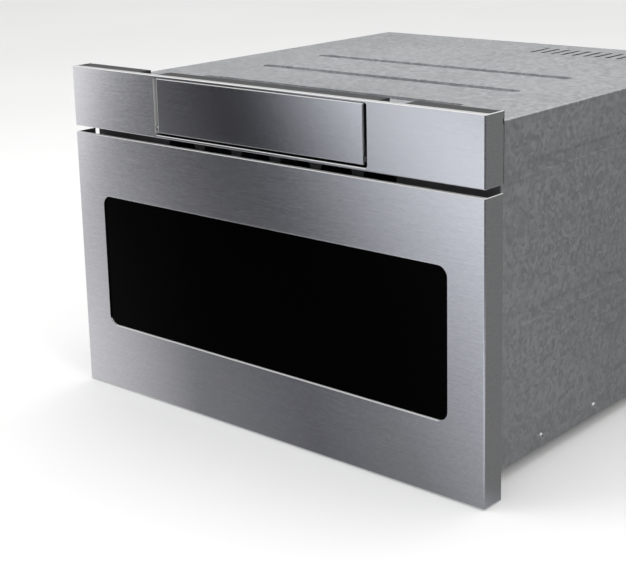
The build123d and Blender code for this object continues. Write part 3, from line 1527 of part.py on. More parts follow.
y_tail = y_flange + housing_tail
half_port = port_half - housing_gap
y_tilt = y_hinge + tilt_radius * cos(radians(tilt_mesh_angle))
z_tilt = z_hinge + tilt_radius * sin(radians(tilt_mesh_angle))
with BuildPart() as pod_housing:
    # moulded box behind the aperture with the pod's bearings, reaching back through the front frame
    for side in (-1, 1):
        walls = sorted((side * x_housing, side * (x_housing + housing_side)))
        block(walls[0], walls[1], y_front + skin, y_flange, z_fascia + skin, z_top - skin)
    y_collar = y_front + aperture_return
    x_out = x_housing + housing_side
    block(-x_out, x_out, y_collar, y_flange, z_fascia + skin, z_aperture - skin)
    block(-x_out, x_out, y_collar, y_flange, aperture_top + skin - housing_wall / 2, z_top - skin)
    with BuildSketch(front_plane(y_flange)):
        pane(-x_out, x_out, z_fascia + skin, z_top - skin)
        pane(
            housing_wall - half_port, half_port - housing_wall, pod_port_bottom + housing_wall,
            pod_port_top - housing_wall, mode=Mode.SUBTRACT,
        )
    extrude(amount=housing_wall)
    with BuildSketch(front_plane(y_tail)):
        pane(-half_port, half_port, pod_port_bottom + housing_gap, pod_port_top - housing_gap)
        pane(
            housing_wall - half_port, half_port - housing_wall, pod_port_bottom + housing_wall,
            pod_port_top - housing_wall, mode=Mode.SUBTRACT,
        )
    extrude(amount=housing_tail)
    block(-half_port, half_port, y_tail - housing_wall, y_tail, pod_port_bottom + housing_gap,
          pod_port_top - housing_gap)
    for side in (-1, 1):
        with BuildSketch(side_plane(side * (x_housing + housing_side / 2))):
            with Locations((y_hinge, z_hinge)):
                Circle(hinge_pin_radius + shaft_clearance)
        extrude(amount=housing_side, both=True, mode=Mode.SUBTRACT)
    with BuildSketch(side_plane(x_housing - housing_side)):
        with Locations((y_tilt, z_tilt)):
            Circle(2 * tilt_shaft_radius)
    extrude(amount=3 * housing_side, mode=Mode.SUBTRACT)
write(pod_housing.part, "pod_housing")

# ---------------------------------------------------------------- control pod
half_shell = half_pod - skin
slope = radians(pod_slope)
shell_top = pod_top - skin
y_shell = y_front + skin
y_pod_back = y_front + pod_depth
z_pod_back = shell_top - (y_pod_back - y_shell - touch_thickness) * tan(slope)
with BuildPart() as flap_face:
    # stainless face of the pod, edges turned in
    with BuildSketch(front_plane(y_front + flap_return)):
        pane(-half_pod, half_pod, z_pod, pod_top)
    extrude(amount=flap_return)
    fillet(flap_face.faces().sort_by(Axis.Y)[0].edges().filter_by(Axis.Z), radius=skin)
    fillet(flap_face.faces().sort_by(Axis.Y)[0].edges().filter_by(Axis.X), radius=skin / 2)
    block(-half_shell, half_shell, y_shell, y_front + flap_return, z_pod + skin, shell_top,
          mode=Mode.SUBTRACT)
    block(-half_shell, half_shell, y_shell + touch_thickness, y_front + flap_return, shell_top, pod_top,
          mode=Mode.SUBTRACT)
    with BuildSketch(side_plane(-half_pod - skin)):
        with Locations((y_hinge, z_hinge)):
            Circle(hinge_pin_radius + shaft_clearance)
    extrude(amount=2 * half_pod + 2 * skin, mode=Mode.SUBTRACT)
write(flap_face.part, "flap_face")

touch_drop = touch_thickness / cos(slope)
with BuildPart() as pod_body:
    # wedge-shaped moulding behind the face, open under the touch glass
    with BuildSketch(side_plane(-half_shell)):
        with BuildLine():
            Polyline(
                (y_shell, z_pod + skin),
                (y_front + pod_keel, z_pod + skin),
                (y_pod_back, z_pod_back - pod_rear_wall),
                (y_pod_back, z_pod_back - touch_drop),
                (y_shell + touch_thickness, shell_top - touch_drop),
                (y_shell + touch_thickness, shell_top),
                (y_shell, shell_top),
                close=True,
            )
        make_face()
    extrude(amount=2 * half_shell)
    with BuildSketch(side_plane(pod_wall - half_shell)):
        with BuildLine():
            Polyline(
                (y_shell + pod_wall, z_pod + skin + pod_wall),
                (y_front + pod_keel - pod_wall / 2, z_pod + skin + pod_wall),
                (y_pod_back - pod_wall, z_pod_back - pod_rear_wall + pod_wall / 2),
                (y_pod_back - pod_wall, z_pod_back),
                (y_shell + 2 * pod_wall, shell_top - 2 * pod_wall * tan(slope)),
                (y_shell + pod_wall, shell_top - 4 * pod_wall),
                close=True,
            )
        make_face()
    extrude(amount=2 * half_shell - 2 * pod_wall, mode=Mode.SUBTRACT)
    with BuildSketch(side_plane(-half_shell)):
        with Locations((y_hinge, z_hinge)):
            Circle(hinge_pin_radius + pod_wall)
        with BuildLine():
            Polyline(
                (y_shell, z_pod + skin), (y_front + pod_keel, z_pod + skin), (y_front + pod_keel, shell_top),
                (y_shell, shell_top), close=True,
            )
        make_face(mode=Mode.INTERSECT)
    extrude(amount=pod_wall + hinge_pin_depth)
    with BuildSketch(side_plane(half_shell)):
        with Locations((y_hinge, z_hinge)):
            Circle(hinge_pin_radius + pod_wall)
        with BuildLine():
            Polyline(
                (y_shell, z_pod + skin), (y_front + pod_keel, z_pod + skin), (y_front + pod_keel, shell_top),
                (y_shell, shell_top), close=True,
            )
        make_face(mode=Mode.INTERSECT)
    extrude(amount=-pod_wall - hinge_pin_depth)
    with BuildSketch(side_plane(-half_shell)):
        with Locations((y_hinge, z_hinge)):
            Circle(hinge_pin_radius + shaft_clearance)
    extrude(amount=2 * half_shell, mode=Mode.SUBTRACT)
write(pod_body.part, "pod_body")

with BuildPart() as touch_glass:
    # sloping glass that carries the touch keys and the display
    with BuildSketch(side_plane(-half_shell)):
        with BuildLine():
            Polyline(
                (y_shell + touch_thickness, shell_top - touch_drop),
                (y_pod_back, z_pod_back - touch_drop),
                (y_pod_back, z_pod_back),
                (y_shell + touch_thickness, shell_top),
                close=True,
            )
        make_face()
    extrude(amount=2 * half_shell)
write(touch_glass.part, "touch_glass")

with BuildPart() as control_board:
    # circuit board against the underside of the touch glass, with its display module
    board_plane = Plane(
        origin=(0, (y_shell + touch_thickness + y_pod_back) / 2, (shell_top + z_pod_back) / 2 - touch_drop),
        x_dir=(1, 0, 0),
        z_dir=(0, -sin(slope), -cos(slope)),
    )
    board_reach = (y_pod_back - y_shell - touch_thickness - 3 * pod_wall) / cos(slope)
    with BuildSketch(board_plane):
        Rectangle(2 * (half_shell - pod_wall) - 4 * hinge_pin_depth, board_reach)
    extrude(amount=board_thickness)
    with BuildSketch(board_plane.offset(board_thickness)):
        Rectangle(display_width, board_reach / 2)
        with Locations((-connector_reach, 0), (connector_reach, 0)):
            Rectangle(connector_width, board_reach / 3)
    extrude(amount=board_drop)
write(control_board.part, "control_board")

with BuildPart() as hinge_pins:
    # steel pins pressed into the pod, turning in the housing
    for side in (-1, 1):
        start = side * (half_shell - pod_wall - hinge_pin_depth)
        with BuildSketch(seat(start, y_hinge, z_hinge, (side, 0, 0))):
            Circle(hinge_pin_radius)
        extrude(amount=x_housing + housing_side - (half_shell - pod_wall - hinge_pin_depth))
write(hinge_pins.part, "hinge_pins")

sector_radius = tilt_module * sector_full_teeth / 2
sector_root = sector_radius - tilt_module * tooth_depth
sector_step = 360 / sector_full_teeth
x_sector = half_pod
sector_count = int(sector_span / sector_step)
with BuildPart() as sector_gear:
    # part-toothed wheel fixed on the pod's side round the pin
    tilt_plane = Plane(origin=(x_sector, y_hinge, z_hinge), x_dir=(0, 1, 0), z_dir=(1, 0, 0))
    first_angle = tilt_mesh_angle + sector_step * 1.5 - sector_step * (sector_count - 1)
    with BuildSketch(tilt_plane):
        with BuildLine():
            start_angle = first_angle - sector_step / 2
            rim_arc = CenterArc((0, 0), sector_root, start_angle, sector_step * sector_count)
            Line(rim_arc @ 1, (0, 0))
            Line((0, 0), rim_arc @ 0)
        make_face()
        Circle(hinge_setback - gear_gap)
    extrude(amount=gear_face)
    add(
        extrude(
            toothed(
                tilt_plane, sector_full_teeth, tilt_module, first_angle, sector_count, hinge_setback - gear_gap
            ),
            amount=gear_face,
            mode=Mode.PRIVATE,
        )
    )
    with BuildSketch(tilt_plane):
        Circle(hinge_pin_radius + shaft_clearance)
    extrude(amount=gear_face, mode=Mode.SUBTRACT)
write(sector_gear.part, "sector_gear")

with BuildPart() as pod_pinion:
    # small pinion and its shaft, a tooth centred on the sector's tooth space
    pinion_plane = Plane(origin=(x_sector + gear_gap, y_tilt, z_tilt), x_dir=(0, 1, 0), z_dir=(1, 0, 0))
    add(
        extrude(
            toothed(
                pinion_plane,
                tilt_pinion_teeth,
                tilt_module,
                tilt_mesh_angle + 180,
                tilt_pinion_teeth,
                tilt_module * tilt_pinion_teeth / 2 - tilt_module * tooth_depth,
            ),
            amount=gear_face,
            mode=Mode.PRIVATE,
        )
    )
    with BuildSketch(pinion_plane):
        Circle(tilt_shaft_radius)
    extrude(amount=x_housing + housing_side + tilt_motor_length / 2 - x_sector)
write(pod_pinion.part, "pod_pinion")

x_tilt_motor = x_housing + housing_side
with BuildPart() as pod_motor:
    # small gear motor on the housing's side
    with BuildSketch(seat(x_tilt_motor, y_tilt, z_tilt, (1, 0, 0))):
        Circle(tilt_motor_radius)
    extrude(amount=tilt_motor_length)
    fillet(pod_motor.faces().sort_by(Axis.X)[-1].edges(), radius=skin_bend)
    with BuildSketch(seat(x_tilt_motor, y_tilt, z_tilt, (1, 0, 0))):
        Circle(tilt_shaft_radius + shaft_clearance)
    extrude(amount=tilt_motor_length / 2 + 2 * running_gap, mode=Mode.SUBTRACT)
write(pod_motor.part, "pod_motor")
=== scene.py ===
"""Looks of a built-in microwave drawer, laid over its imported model."""

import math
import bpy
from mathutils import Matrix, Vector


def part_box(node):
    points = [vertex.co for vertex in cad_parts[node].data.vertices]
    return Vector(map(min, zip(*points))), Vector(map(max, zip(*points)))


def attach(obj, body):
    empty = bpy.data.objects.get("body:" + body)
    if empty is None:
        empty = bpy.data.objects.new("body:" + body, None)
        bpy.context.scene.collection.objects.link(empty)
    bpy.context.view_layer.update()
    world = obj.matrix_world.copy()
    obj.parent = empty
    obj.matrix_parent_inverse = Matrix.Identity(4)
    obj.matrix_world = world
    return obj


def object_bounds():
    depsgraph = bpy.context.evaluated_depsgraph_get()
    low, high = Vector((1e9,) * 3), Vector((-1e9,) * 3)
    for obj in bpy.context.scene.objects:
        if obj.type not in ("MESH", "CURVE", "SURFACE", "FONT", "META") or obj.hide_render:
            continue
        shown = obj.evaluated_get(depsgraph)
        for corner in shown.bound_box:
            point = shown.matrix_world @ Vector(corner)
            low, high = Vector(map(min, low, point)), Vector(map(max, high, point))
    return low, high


bl_info = {
    "name": "Microwave Drawer Looks",
    "version": (1, 0, 0),
    "blender": (4, 5, 0),
    "location": "3D View > Sidebar > Drawer",
    "description": "Finishes, key legends, floor, lights and camera for a pull-out microwave drawer",
    "category": "Object",
}

import bmesh
import bpy
from bpy.props import FloatProperty, FloatVectorProperty, PointerProperty
from mathutils import Matrix, Vector

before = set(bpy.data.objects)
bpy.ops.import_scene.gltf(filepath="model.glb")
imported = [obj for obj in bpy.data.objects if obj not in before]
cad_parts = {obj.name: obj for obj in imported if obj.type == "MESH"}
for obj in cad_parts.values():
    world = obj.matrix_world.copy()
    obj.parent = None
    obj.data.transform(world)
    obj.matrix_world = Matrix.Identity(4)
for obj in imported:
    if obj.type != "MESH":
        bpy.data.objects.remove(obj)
cad_low, cad_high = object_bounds()

MM = 0.001
CAMERA_PLACE = Vector((1.0342, -1.3666, 0.636))
SENSOR_WIDTH = 36.0

# the brushed fronts carry painted highlights: a highlight edge is its half width, its top and its strength,
# and the tilts are shares of a face's normal that point up or sideways
PANEL_FACE = cad_low[1]
POD_GAP = 5 * MM
POD_SILL = 3.5 * MM
SILL_OVERHANG = 3 * MM
TOP_BEND = 4 * MM
WALL_REACH = 0.6 * MM
EDGE_BAND = 1 * MM
EDGE_GAP = 0.05 * MM
# tone and loss of metal of the painted highlights
HIGHLIGHT_TONE = 0.66
HIGHLIGHT_DULLING = 0.85
BEND_TILT = 0.4
WALL_TILT = 0.7
# painted highlights in bands along two level edges of the window
WINDOW_HIGHLIGHTS = ((0.247, 0.083, 1.0), (0.247, 0.2481, 0.25))

# the screws: radius of a head's flat top and how far it may be off, what counts as one point
# or as one plane, and the length, width and thickness of the dark bars that paint a recess's shade
SCREW_TOP = 2.87 * MM
SCREW_SLACK = 0.1 * MM
WELD = 0.001 * MM
SAME_PLANE = 0.9999
RECESS_BAR = (3.2 * MM, 0.8 * MM, 0.02 * MM)

# the touch glass: its slope and thickness, and how far the ink stands off it
GLASS_SLOPE = math.radians(37.0)
GLASS_THICKNESS = 2 * MM
INK_HEIGHT = 0.02 * MM

# the keys: columns are counted in key pitches from the middle, a sign is a share of its ring,
# the clock is a multiple of a digit, and the font's body is a multiple of a digit's height
KEY_COLUMNS = 5
SIDE_KEY_COLUMN = 3.6
CLOCK_COLUMN = 6.2
CLOCK_TIME = "12:00"
CLOCK_SIZE = 2.0
SIGN_SIZE = 0.42
FONT_BODY = 1.35
RING_WIDTH = 0.35 * MM

# the stage; a lamp is its name, place, target, width and share of the key light's power
FLOOR_REACH = 12.0
LAMPS = (
    ("key_light", (-1.6, -1.9, 1.9), (0.0, -0.25, 0.2), 1.6, 1.0),
    ("fill_light", (2.2, -0.6, 1.5), (0.0, -0.1, 0.2), 1.2, 0.5),
    ("top_light", (0.0, 0.4, 2.4), (0.0, 0.0, 0.3), 1.4, 0.5),
)

# the room that only reflections see: distances before the panel, and spans that its tones are laid over
ROOM_RADIUS = 6.0
ROOM_FLOOR = 2 * MM
REAR_TONE = 0.12
REAR_FADE = 0.05
CEILING_TONE = 0.7
CEILING_SPAN = (0.35, 0.6)
WALL_SPAN = (-1.4, 0.6)
WALL_REAR_SPAN = (-0.3, 0.1)
AISLE_NEAR = 0.1
AISLE_FAR = 1.1
AISLE_SLOPE = 1.054
AISLE_OFFSET = 0.05
AISLE_SPREAD = 0.1
AISLE_SPAN = (-0.8, 1.6)
NEAR_AISLE = (
    (0.0, (0.50, 0.49, 0.51)),
    (0.18, (0.49, 0.485, 0.50)),
    (0.27, (0.14, 0.14, 0.15)),
    (0.35, (0.08, 0.08, 0.09)),
    (0.41, (0.135, 0.135, 0.145)),
    (0.48, (0.30, 0.305, 0.33)),
    (0.62, (0.46, 0.47, 0.52)),
    (0.75, (0.08, 0.08, 0.09)),
)
FAR_AISLE = (
    (0.0, (0.80, 0.79, 0.81)),
    (0.135, (0.80, 0.79, 0.81)),
    (0.18, (0.15, 0.15, 0.16)),
    (0.26, (0.07, 0.07, 0.075)),
    (0.33, (0.01, 0.01, 0.012)),
    (0.385, (0.012, 0.012, 0.016)),
    (0.46, (0.17, 0.175, 0.195)),
    (0.56, (0.48, 0.49, 0.53)),
    (0.68, (1.0, 1.02, 1.08)),
    (0.8, (0.05, 0.05, 0.06)),
)
WALL_TONES = (
    (0.0, (0.5, 0.5, 0.51)),
    (0.12, (0.45, 0.45, 0.46)),
    (0.18, (0.09, 0.09, 0.1)),
    (0.24, (0.04, 0.04, 0.045)),
    (0.3, (0.12, 0.12, 0.13)),
    (0.37, (0.35, 0.36, 0.39)),
    (0.5, (0.6, 0.61, 0.66)),
    (0.62, (0.12, 0.12, 0.13)),
)


# ---------------------------------------------------------------- shader maths
class Wire:
    """A socket of a node tree that can be used in Python arithmetic."""

    def __init__(self, paint, socket):
        self.paint = paint
        self.socket = socket

    def calc(self, operation, *values, clamp=False):
        settings = {"operation": operation, "use_clamp": clamp}
        return self.paint.node("ShaderNodeMath", settings, dict(enumerate(values)))

    def __add__(self, other):
        return self.calc("ADD", self, other)

    def __radd__(self, other):
        return self.calc("ADD", other, self)

    def __sub__(self, other):
        return self.calc("SUBTRACT", self, other)

    def __rsub__(self, other):
        return self.calc("SUBTRACT", other, self)

    def __mul__(self, other):
        return self.calc("MULTIPLY", self, other)

    def __rmul__(self, other):
        return self.calc("MULTIPLY", other, self)

    def __truediv__(self, other):
        return self.calc("DIVIDE", self, other)

    def over(self, other):
        return self.calc("GREATER_THAN", self, other)

    def under(self, other):
        return self.calc("LESS_THAN", self, other)

    def power(self, other):
        return self.calc("POWER", self, other)

    def fract(self):
        return self.calc("FRACT", self)

    def clamped(self):
        return self.calc("ADD", self, 0.0, clamp=True)

    def size(self):
        return self.calc("ABSOLUTE", self)


class Paint:
    """One procedural material: constants on its Principled shader, patterns through node()."""

    def __init__(self, name, **constants):
        self.material = bpy.data.materials.new(name)
        self.material.use_nodes = True
        self.tree = self.material.node_tree
        self.shader = self.tree.nodes["Principled BSDF"]
        for key, value in constants.items():
            self.shader.inputs[key.replace("_", " ")].default_value = value

    def node(self, kind, settings=None, inputs=None, output=0):
        """Adds a node: its settings first, then the values or links of its sockets."""
        made = self.tree.nodes.new(kind)
        for key, value in (settings or {}).items():
            if key == "stops":
                ramp = made.color_ramp.elements
                while len(ramp) < len(value):
                    ramp.new(0.5)
                for stop, (place, tone) in zip(ramp, value):
                    stop.position = place
                    stop.color = (*tone, 1.0) if len(tone) == 3 else tone
            else:
                setattr(made, key, value)
        for key, value in (inputs or {}).items():
            self.set(made.inputs[key], value)
        return Wire(self, made.outputs[output])

    def set(self, socket, value):
        if isinstance(value, Wire):
            self.tree.links.new(value.socket, socket)
        else:
            socket.default_value = value

    def feed(self, name, value):
        """Links a pattern to one of the shader's own sockets."""
        self.set(self.shader.inputs[name], value)

    def place(self, scale=(1.0, 1.0, 1.0)):
        """Object coordinates in metres, scaled."""
        spot = self.node("ShaderNodeTexCoord", output=3)
        return self.node("ShaderNodeMapping", None, {"Vector": spot, "Scale": scale})

    def axes(self, where):
        """The x, y and z of a vector as three wires."""
        return [self.node("ShaderNodeSeparateXYZ", None, {0: where}, index) for index in range(3)]

    def noise(self, where, scale=1.0, detail=2.0, rough=0.5):
        inputs = {"Vector": where, "Scale": scale, "Detail": detail, "Roughness": rough}
        return self.node("ShaderNodeTexNoise", None, inputs)

    def shake(self, where, scale, reach):
        """A wandering vector that crooks straight borders."""
        inputs = {"Vector": where, "Scale": scale, "Detail": 1.0}
        wander = self.node("ShaderNodeTexNoise", None, inputs, output=1)
        return self.node("ShaderNodeVectorMath", {"operation": "SCALE"}, {0: wander, "Scale": reach})

    def cells(self, where, scale, feature="F1", output=0):
        inputs = {"Vector": where, "Scale": scale}
        return self.node("ShaderNodeTexVoronoi", {"feature": feature}, inputs, output)

    def ramp(self, value, *stops):
        return self.node("ShaderNodeValToRGB", {"stops": stops}, {0: value})

    def range(self, value, low, high, start=0.0, end=1.0):
        inputs = {"Value": value, "From Min": start, "From Max": end, "To Min": low, "To Max": high}
        return self.node("ShaderNodeMapRange", None, inputs)

    def blend(self, mask, first, second):
        inputs = {0: mask, 6: first, 7: second}
        return self.node("ShaderNodeMix", {"data_type": "RGBA"}, inputs, output=2)

    def bump(self, height, strength, distance):
        inputs = {"Height": height, "Strength": strength, "Distance": distance}
        self.feed("Normal", self.node("ShaderNodeBump", None, inputs))


def grey(value):
    return (value, value, value, 1.0)


def opaque(colour):
    return (*colour[:3], 1.0)


# ---------------------------------------------------------------- finishes
def brushed_steel(name, wanted, gloss=0.0, stretch=1.0, highlight_from=-1.0, highlight_wall=None, highlight_edges=()):
    """Stainless sheet brushed level, with painted highlights in pale, less metallic grey on upward bends, on
    a cut-out's walls and along level edges.
    """
    pitch = wanted.grain_pitch
    length = wanted.grain_length * stretch
    roughness = wanted.roughness - gloss
    steel = Paint(name, Anisotropic=wanted.across, Anisotropic_Rotation=0.25)
    streaks = steel.noise(steel.place((1 / length, 1 / length, 1 / pitch)), 1.0, 3.0, 0.65)
    short = steel.noise(steel.place((10 / length, 10 / length, 0.8 / pitch)), 1.0, 2.0)
    tone = (streaks * 0.4 + short * 0.6).clamped()
    facing, _, up = steel.axes(steel.node("ShaderNodeNewGeometry", output=1))
    x, _, z = steel.axes(steel.place())
    # painted highlights: upward bends, a cut-out's side walls and thin bands along level edges turn pale and
    # less metallic
    highlight = up.over(BEND_TILT) * z.over(highlight_from)
    if highlight_wall:
        wall_highlight = (x.size() - highlight_wall).size().under(WALL_REACH) * facing.size().over(WALL_TILT)
        highlight = highlight.calc("MAXIMUM", highlight, wall_highlight)
    for half_width, top, strength in highlight_edges:
        middle = top - EDGE_GAP - EDGE_BAND / 2
        edge = x.size().under(half_width) * (z - middle).size().under(EDGE_BAND / 2)
        highlight = highlight.calc("MAXIMUM", highlight, edge * strength)
    brushed = steel.ramp(tone, (0.35, wanted.dark), (0.65, wanted.light))
    steel.feed("Base Color", steel.blend(highlight, brushed, grey(HIGHLIGHT_TONE)))
    steel.feed("Metallic", 1.0 - highlight * HIGHLIGHT_DULLING)
    steel.feed("Roughness", steel.range(tone, roughness - 0.02, roughness + 0.02, 0.35, 0.65))
    steel.bump(streaks, 0.004, 0.0001)
    return steel.material


def black_glass(name, tone):
    """Opaque black glass with the faintest unevenness in its gloss."""
    glass = Paint(name, Specular_IOR_Level=0.02, IOR=1.5)
    smear = glass.noise(glass.place(), 9.0, 3.0)
    glass.feed("Roughness", glass.range(smear, 0.045, 0.085, 0.35, 0.65))
    glass.feed("Base Color", glass.ramp(smear, (0.3, grey(tone)), (0.7, grey(tone * 1.5))))
    return glass.material


def enamel(name, light, dark, roughness):
    """Hard enamel with fine lighter specks and a slight orange peel."""
    coat = Paint(name, Specular_IOR_Level=0.5)
    where = coat.place()
    specks = coat.cells(where, 900.0).under(0.22)
    drift = coat.noise(where, 14.0, 3.0)
    body = coat.ramp(drift, (0.3, dark), (0.7, light))
    coat.feed("Base Color", coat.blend(specks * 0.5, body, opaque([min(1.0, 1.5 * c) for c in light])))
    coat.feed("Roughness", coat.range(drift, roughness - 0.05, roughness + 0.05, 0.3, 0.7))
    coat.bump(coat.noise(where, 420.0, 2.0), 0.08, 0.0002)
    return coat.material


def zinc(name, light, dark, roughness):
    """Zinc-coated sheet: dull spangle, faint rolling lines."""
    sheet = Paint(name, Metallic=0.9)
    where = sheet.place()
    wander = sheet.shake(where, 60.0, 0.012)
    crooked = sheet.node("ShaderNodeVectorMath", {"operation": "ADD"}, {0: where, 1: wander})
    spangle = sheet.cells(crooked, 210.0, output=1)
    flake = sheet.node("ShaderNodeSeparateColor", None, {0: spangle})
    rolled = sheet.noise(sheet.place((3.0, 3.0, 240.0)), 1.0, 2.0)
    drift = sheet.noise(where, 2.5, 2.0)
    tone = (flake * 0.3 + rolled * 0.2 + drift * 0.5).clamped()
    sheet.feed("Base Color", sheet.ramp(tone, (0.3, dark), (0.7, light)))
    sheet.feed("Roughness", sheet.range(flake, roughness - 0.04, roughness + 0.05))
    sheet.bump(rolled, 0.06, 0.0001)
    return sheet.material


def moulded(name, light, dark, roughness, pebble=900.0):
    """Moulded plastic or rubber with a fine spark-eroded texture."""
    shell = Paint(name, Specular_IOR_Level=0.4)
    where = shell.place()
    grain = shell.noise(where, pebble, 2.0)
    drift = shell.noise(where, 18.0, 2.0)
    shell.feed("Base Color", shell.ramp(drift, (0.3, dark), (0.7, light)))
    shell.feed("Roughness", shell.range(grain, roughness - 0.06, roughness + 0.06, 0.3, 0.7))
    shell.bump(grain, 0.15, 0.0002)
    return shell.material


def perforated(name, sheet_tone, hole_tone, pitch):
    """Dark sheet pierced with a close pattern of small round holes."""
    mesh = Paint(name, Metallic=0.6)
    x, _, z = mesh.axes(mesh.place((1 / pitch, 1 / pitch, 1 / pitch)))
    across = (x + z.calc("FLOOR", z) * 0.5).fract() - 0.5
    up = z.fract() - 0.5
    hole = (across * across + up * up).under(0.1)
    mesh.feed("Base Color", mesh.blend(hole, grey(sheet_tone), grey(hole_tone)))
    mesh.feed("Roughness", mesh.range(hole, 0.45, 0.9))
    mesh.feed("Metallic", 0.6 - hole * 0.6)
    return mesh.material


def circuit(name):
    """Green circuit board with tracks and tinned pads."""
    board = Paint(name, Specular_IOR_Level=0.4)
    where = board.place()
    tracks = board.cells(where, 260.0, "DISTANCE_TO_EDGE").under(0.06)
    pads = board.cells(where, 520.0).under(0.16)
    laid = board.blend(tracks, (0.02, 0.13, 0.06, 1.0), (0.05, 0.27, 0.13, 1.0))
    board.feed("Base Color", board.blend(pads, laid, grey(0.7)))
    board.feed("Roughness", board.range(pads, 0.45, 0.25))
    return board.material


def laminations(name):
    """Varnished iron laminations, seen as fine level lines."""
    core = Paint(name, Metallic=0.5)
    where = core.place((6.0, 6.0, 900.0))
    leaves = core.noise(where, 1.0, 1.0)
    core.feed("Base Color", core.ramp(leaves, (0.4, (0.05, 0.042, 0.036)), (0.6, (0.16, 0.14, 0.12))))
    core.feed("Roughness", core.range(leaves, 0.4, 0.6))
    core.bump(leaves, 0.4, 0.0002)
    return core.material


def clear_tray(name):
    """Pale ceramic glass, lightly clouded."""
    tray = Paint(name, Transmission_Weight=0.55, IOR=1.46)
    cloud = tray.noise(tray.place(), 30.0, 3.0)
    tray.feed("Base Color", tray.ramp(cloud, (0.3, (0.62, 0.66, 0.66)), (0.7, (0.75, 0.79, 0.79))))
    tray.feed("Roughness", tray.range(cloud, 0.12, 0.22, 0.3, 0.7))
    return tray.material


def printed(name, colour, strength):
    """Pale printed ink, slightly lit from behind."""
    ink = Paint(name, Roughness=0.5, Emission_Strength=strength)
    wear = ink.noise(ink.place(), 700.0, 2.0)
    ink.feed("Base Color", ink.ramp(wear, (0.3, [0.8 * c for c in colour]), (0.7, colour)))
    ink.feed("Emission Color", ink.ramp(wear, (0.3, [0.9 * c for c in colour]), (0.7, colour)))
    return ink.material


def floor_paint(name, colour):
    """Plain pale studio floor."""
    ground = Paint(name, Specular_IOR_Level=0.2)
    drift = ground.noise(ground.place(), 1.2, 2.0)
    ground.feed("Base Color", ground.ramp(drift, (0.3, [0.98 * c for c in colour]), (0.7, colour)))
    ground.feed("Roughness", ground.range(drift, 0.75, 0.85))
    return ground.material


def glowing(name):
    """Paint that reflects nothing and shines by itself."""
    return Paint(name, Base_Color=grey(0.0), Roughness=1.0, Specular_IOR_Level=0.0, Emission_Strength=2.0)


def room_floor_glow():
    """Floor of the reflected room: a dark aisle that leads off to the front left, pale on both sides."""
    glow = glowing("room_floor_glow")
    x, y, _ = glow.axes(glow.place())
    off = x - (y - PANEL_FACE) * AISLE_SLOPE - AISLE_OFFSET
    left = (off * -3.0).clamped()
    off = off - AISLE_SPREAD * (y - PANEL_FACE) * left
    across = glow.range(off, 0.0, 1.0, *AISLE_SPAN)
    away = glow.range(y, 0.0, 1.0, PANEL_FACE - AISLE_NEAR, PANEL_FACE - AISLE_FAR)
    aisle = glow.blend(away, glow.ramp(across, *NEAR_AISLE), glow.ramp(across, *FAR_AISLE))
    rear = glow.range(y, 0.0, 1.0, PANEL_FACE, PANEL_FACE + REAR_FADE)
    glow.feed("Emission Color", glow.blend(rear, aisle, grey(REAR_TONE)))
    return glow.material


def room_wall_glow():
    """Walls and ceiling of the reflected room."""
    glow = glowing("room_wall_glow")
    x, y, z = glow.axes(glow.place())
    reach = (y * y + z * z).power(0.5)
    front = glow.ramp(glow.range(x / reach, 0.0, 1.0, *WALL_SPAN), *WALL_TONES)
    rear = glow.range(y / ROOM_RADIUS, 0.0, 1.0, *WALL_REAR_SPAN)
    sides = glow.blend(rear, front, grey(REAR_TONE))
    ceiling = glow.range(z / ROOM_RADIUS, 0.0, 1.0, *CEILING_SPAN)
    glow.feed("Emission Color", glow.blend(ceiling, sides, grey(CEILING_TONE)))
    return glow.material


# ---------------------------------------------------------------- helpers
def finish_nodes(material, *names):
    """Gives CAD nodes a material."""
    for name in names:
        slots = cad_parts[name].data.materials
        slots.clear()
        slots.append(material)


def new_piece(name, shape, material, body=None):
    """Makes an object of a bmesh whose place is already in its vertices."""
    mesh = bpy.data.meshes.new(name)
    shape.to_mesh(mesh)
    shape.free()
    mesh.materials.append(material)
    piece = bpy.data.objects.new(name, mesh)
    bpy.context.scene.collection.objects.link(piece)
    if body:
        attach(piece, body)
    return piece


def settings():
    return bpy.context.scene.microwave_drawer


# ---------------------------------------------------------------- settings
class SteelSettings(bpy.types.PropertyGroup):
    light: FloatVectorProperty(name="Light tone", description="Lightest tone of the brushed steel",
                               subtype="COLOR", default=(0.61, 0.615, 0.625))
    dark: FloatVectorProperty(name="Dark tone", description="Darkest tone of the brushed steel",
                              subtype="COLOR", default=(0.53, 0.535, 0.545))
    roughness: FloatProperty(name="Roughness", description="Roughness of the brushed steel",
                             default=0.2, min=0.1, max=0.8)
    across: FloatProperty(name="Across grain", description="How much wider light spreads across the grain",
                          default=0.8, min=0.0, max=1.0)
    grain_pitch: FloatProperty(name="Grain pitch", description="Height of one scratch",
                               default=0.0006, unit="LENGTH")
    grain_length: FloatProperty(name="Grain length", description="Length of one scratch",
                                default=0.045, unit="LENGTH")


class KeySettings(bpy.types.PropertyGroup):
    digit: FloatProperty(name="Digit height", description="Height of the key numbers",
                         default=0.0062, unit="LENGTH")
    ring: FloatProperty(name="Key ring", description="Radius of the ring round each key",
                        default=0.0068, unit="LENGTH")
    pitch: FloatProperty(name="Key pitch", description="Centre to centre of the keys",
                         default=0.0185, unit="LENGTH")
    ink: FloatVectorProperty(name="Ink", description="Colour of the printed keys",
                             subtype="COLOR", default=(0.82, 0.86, 0.9))


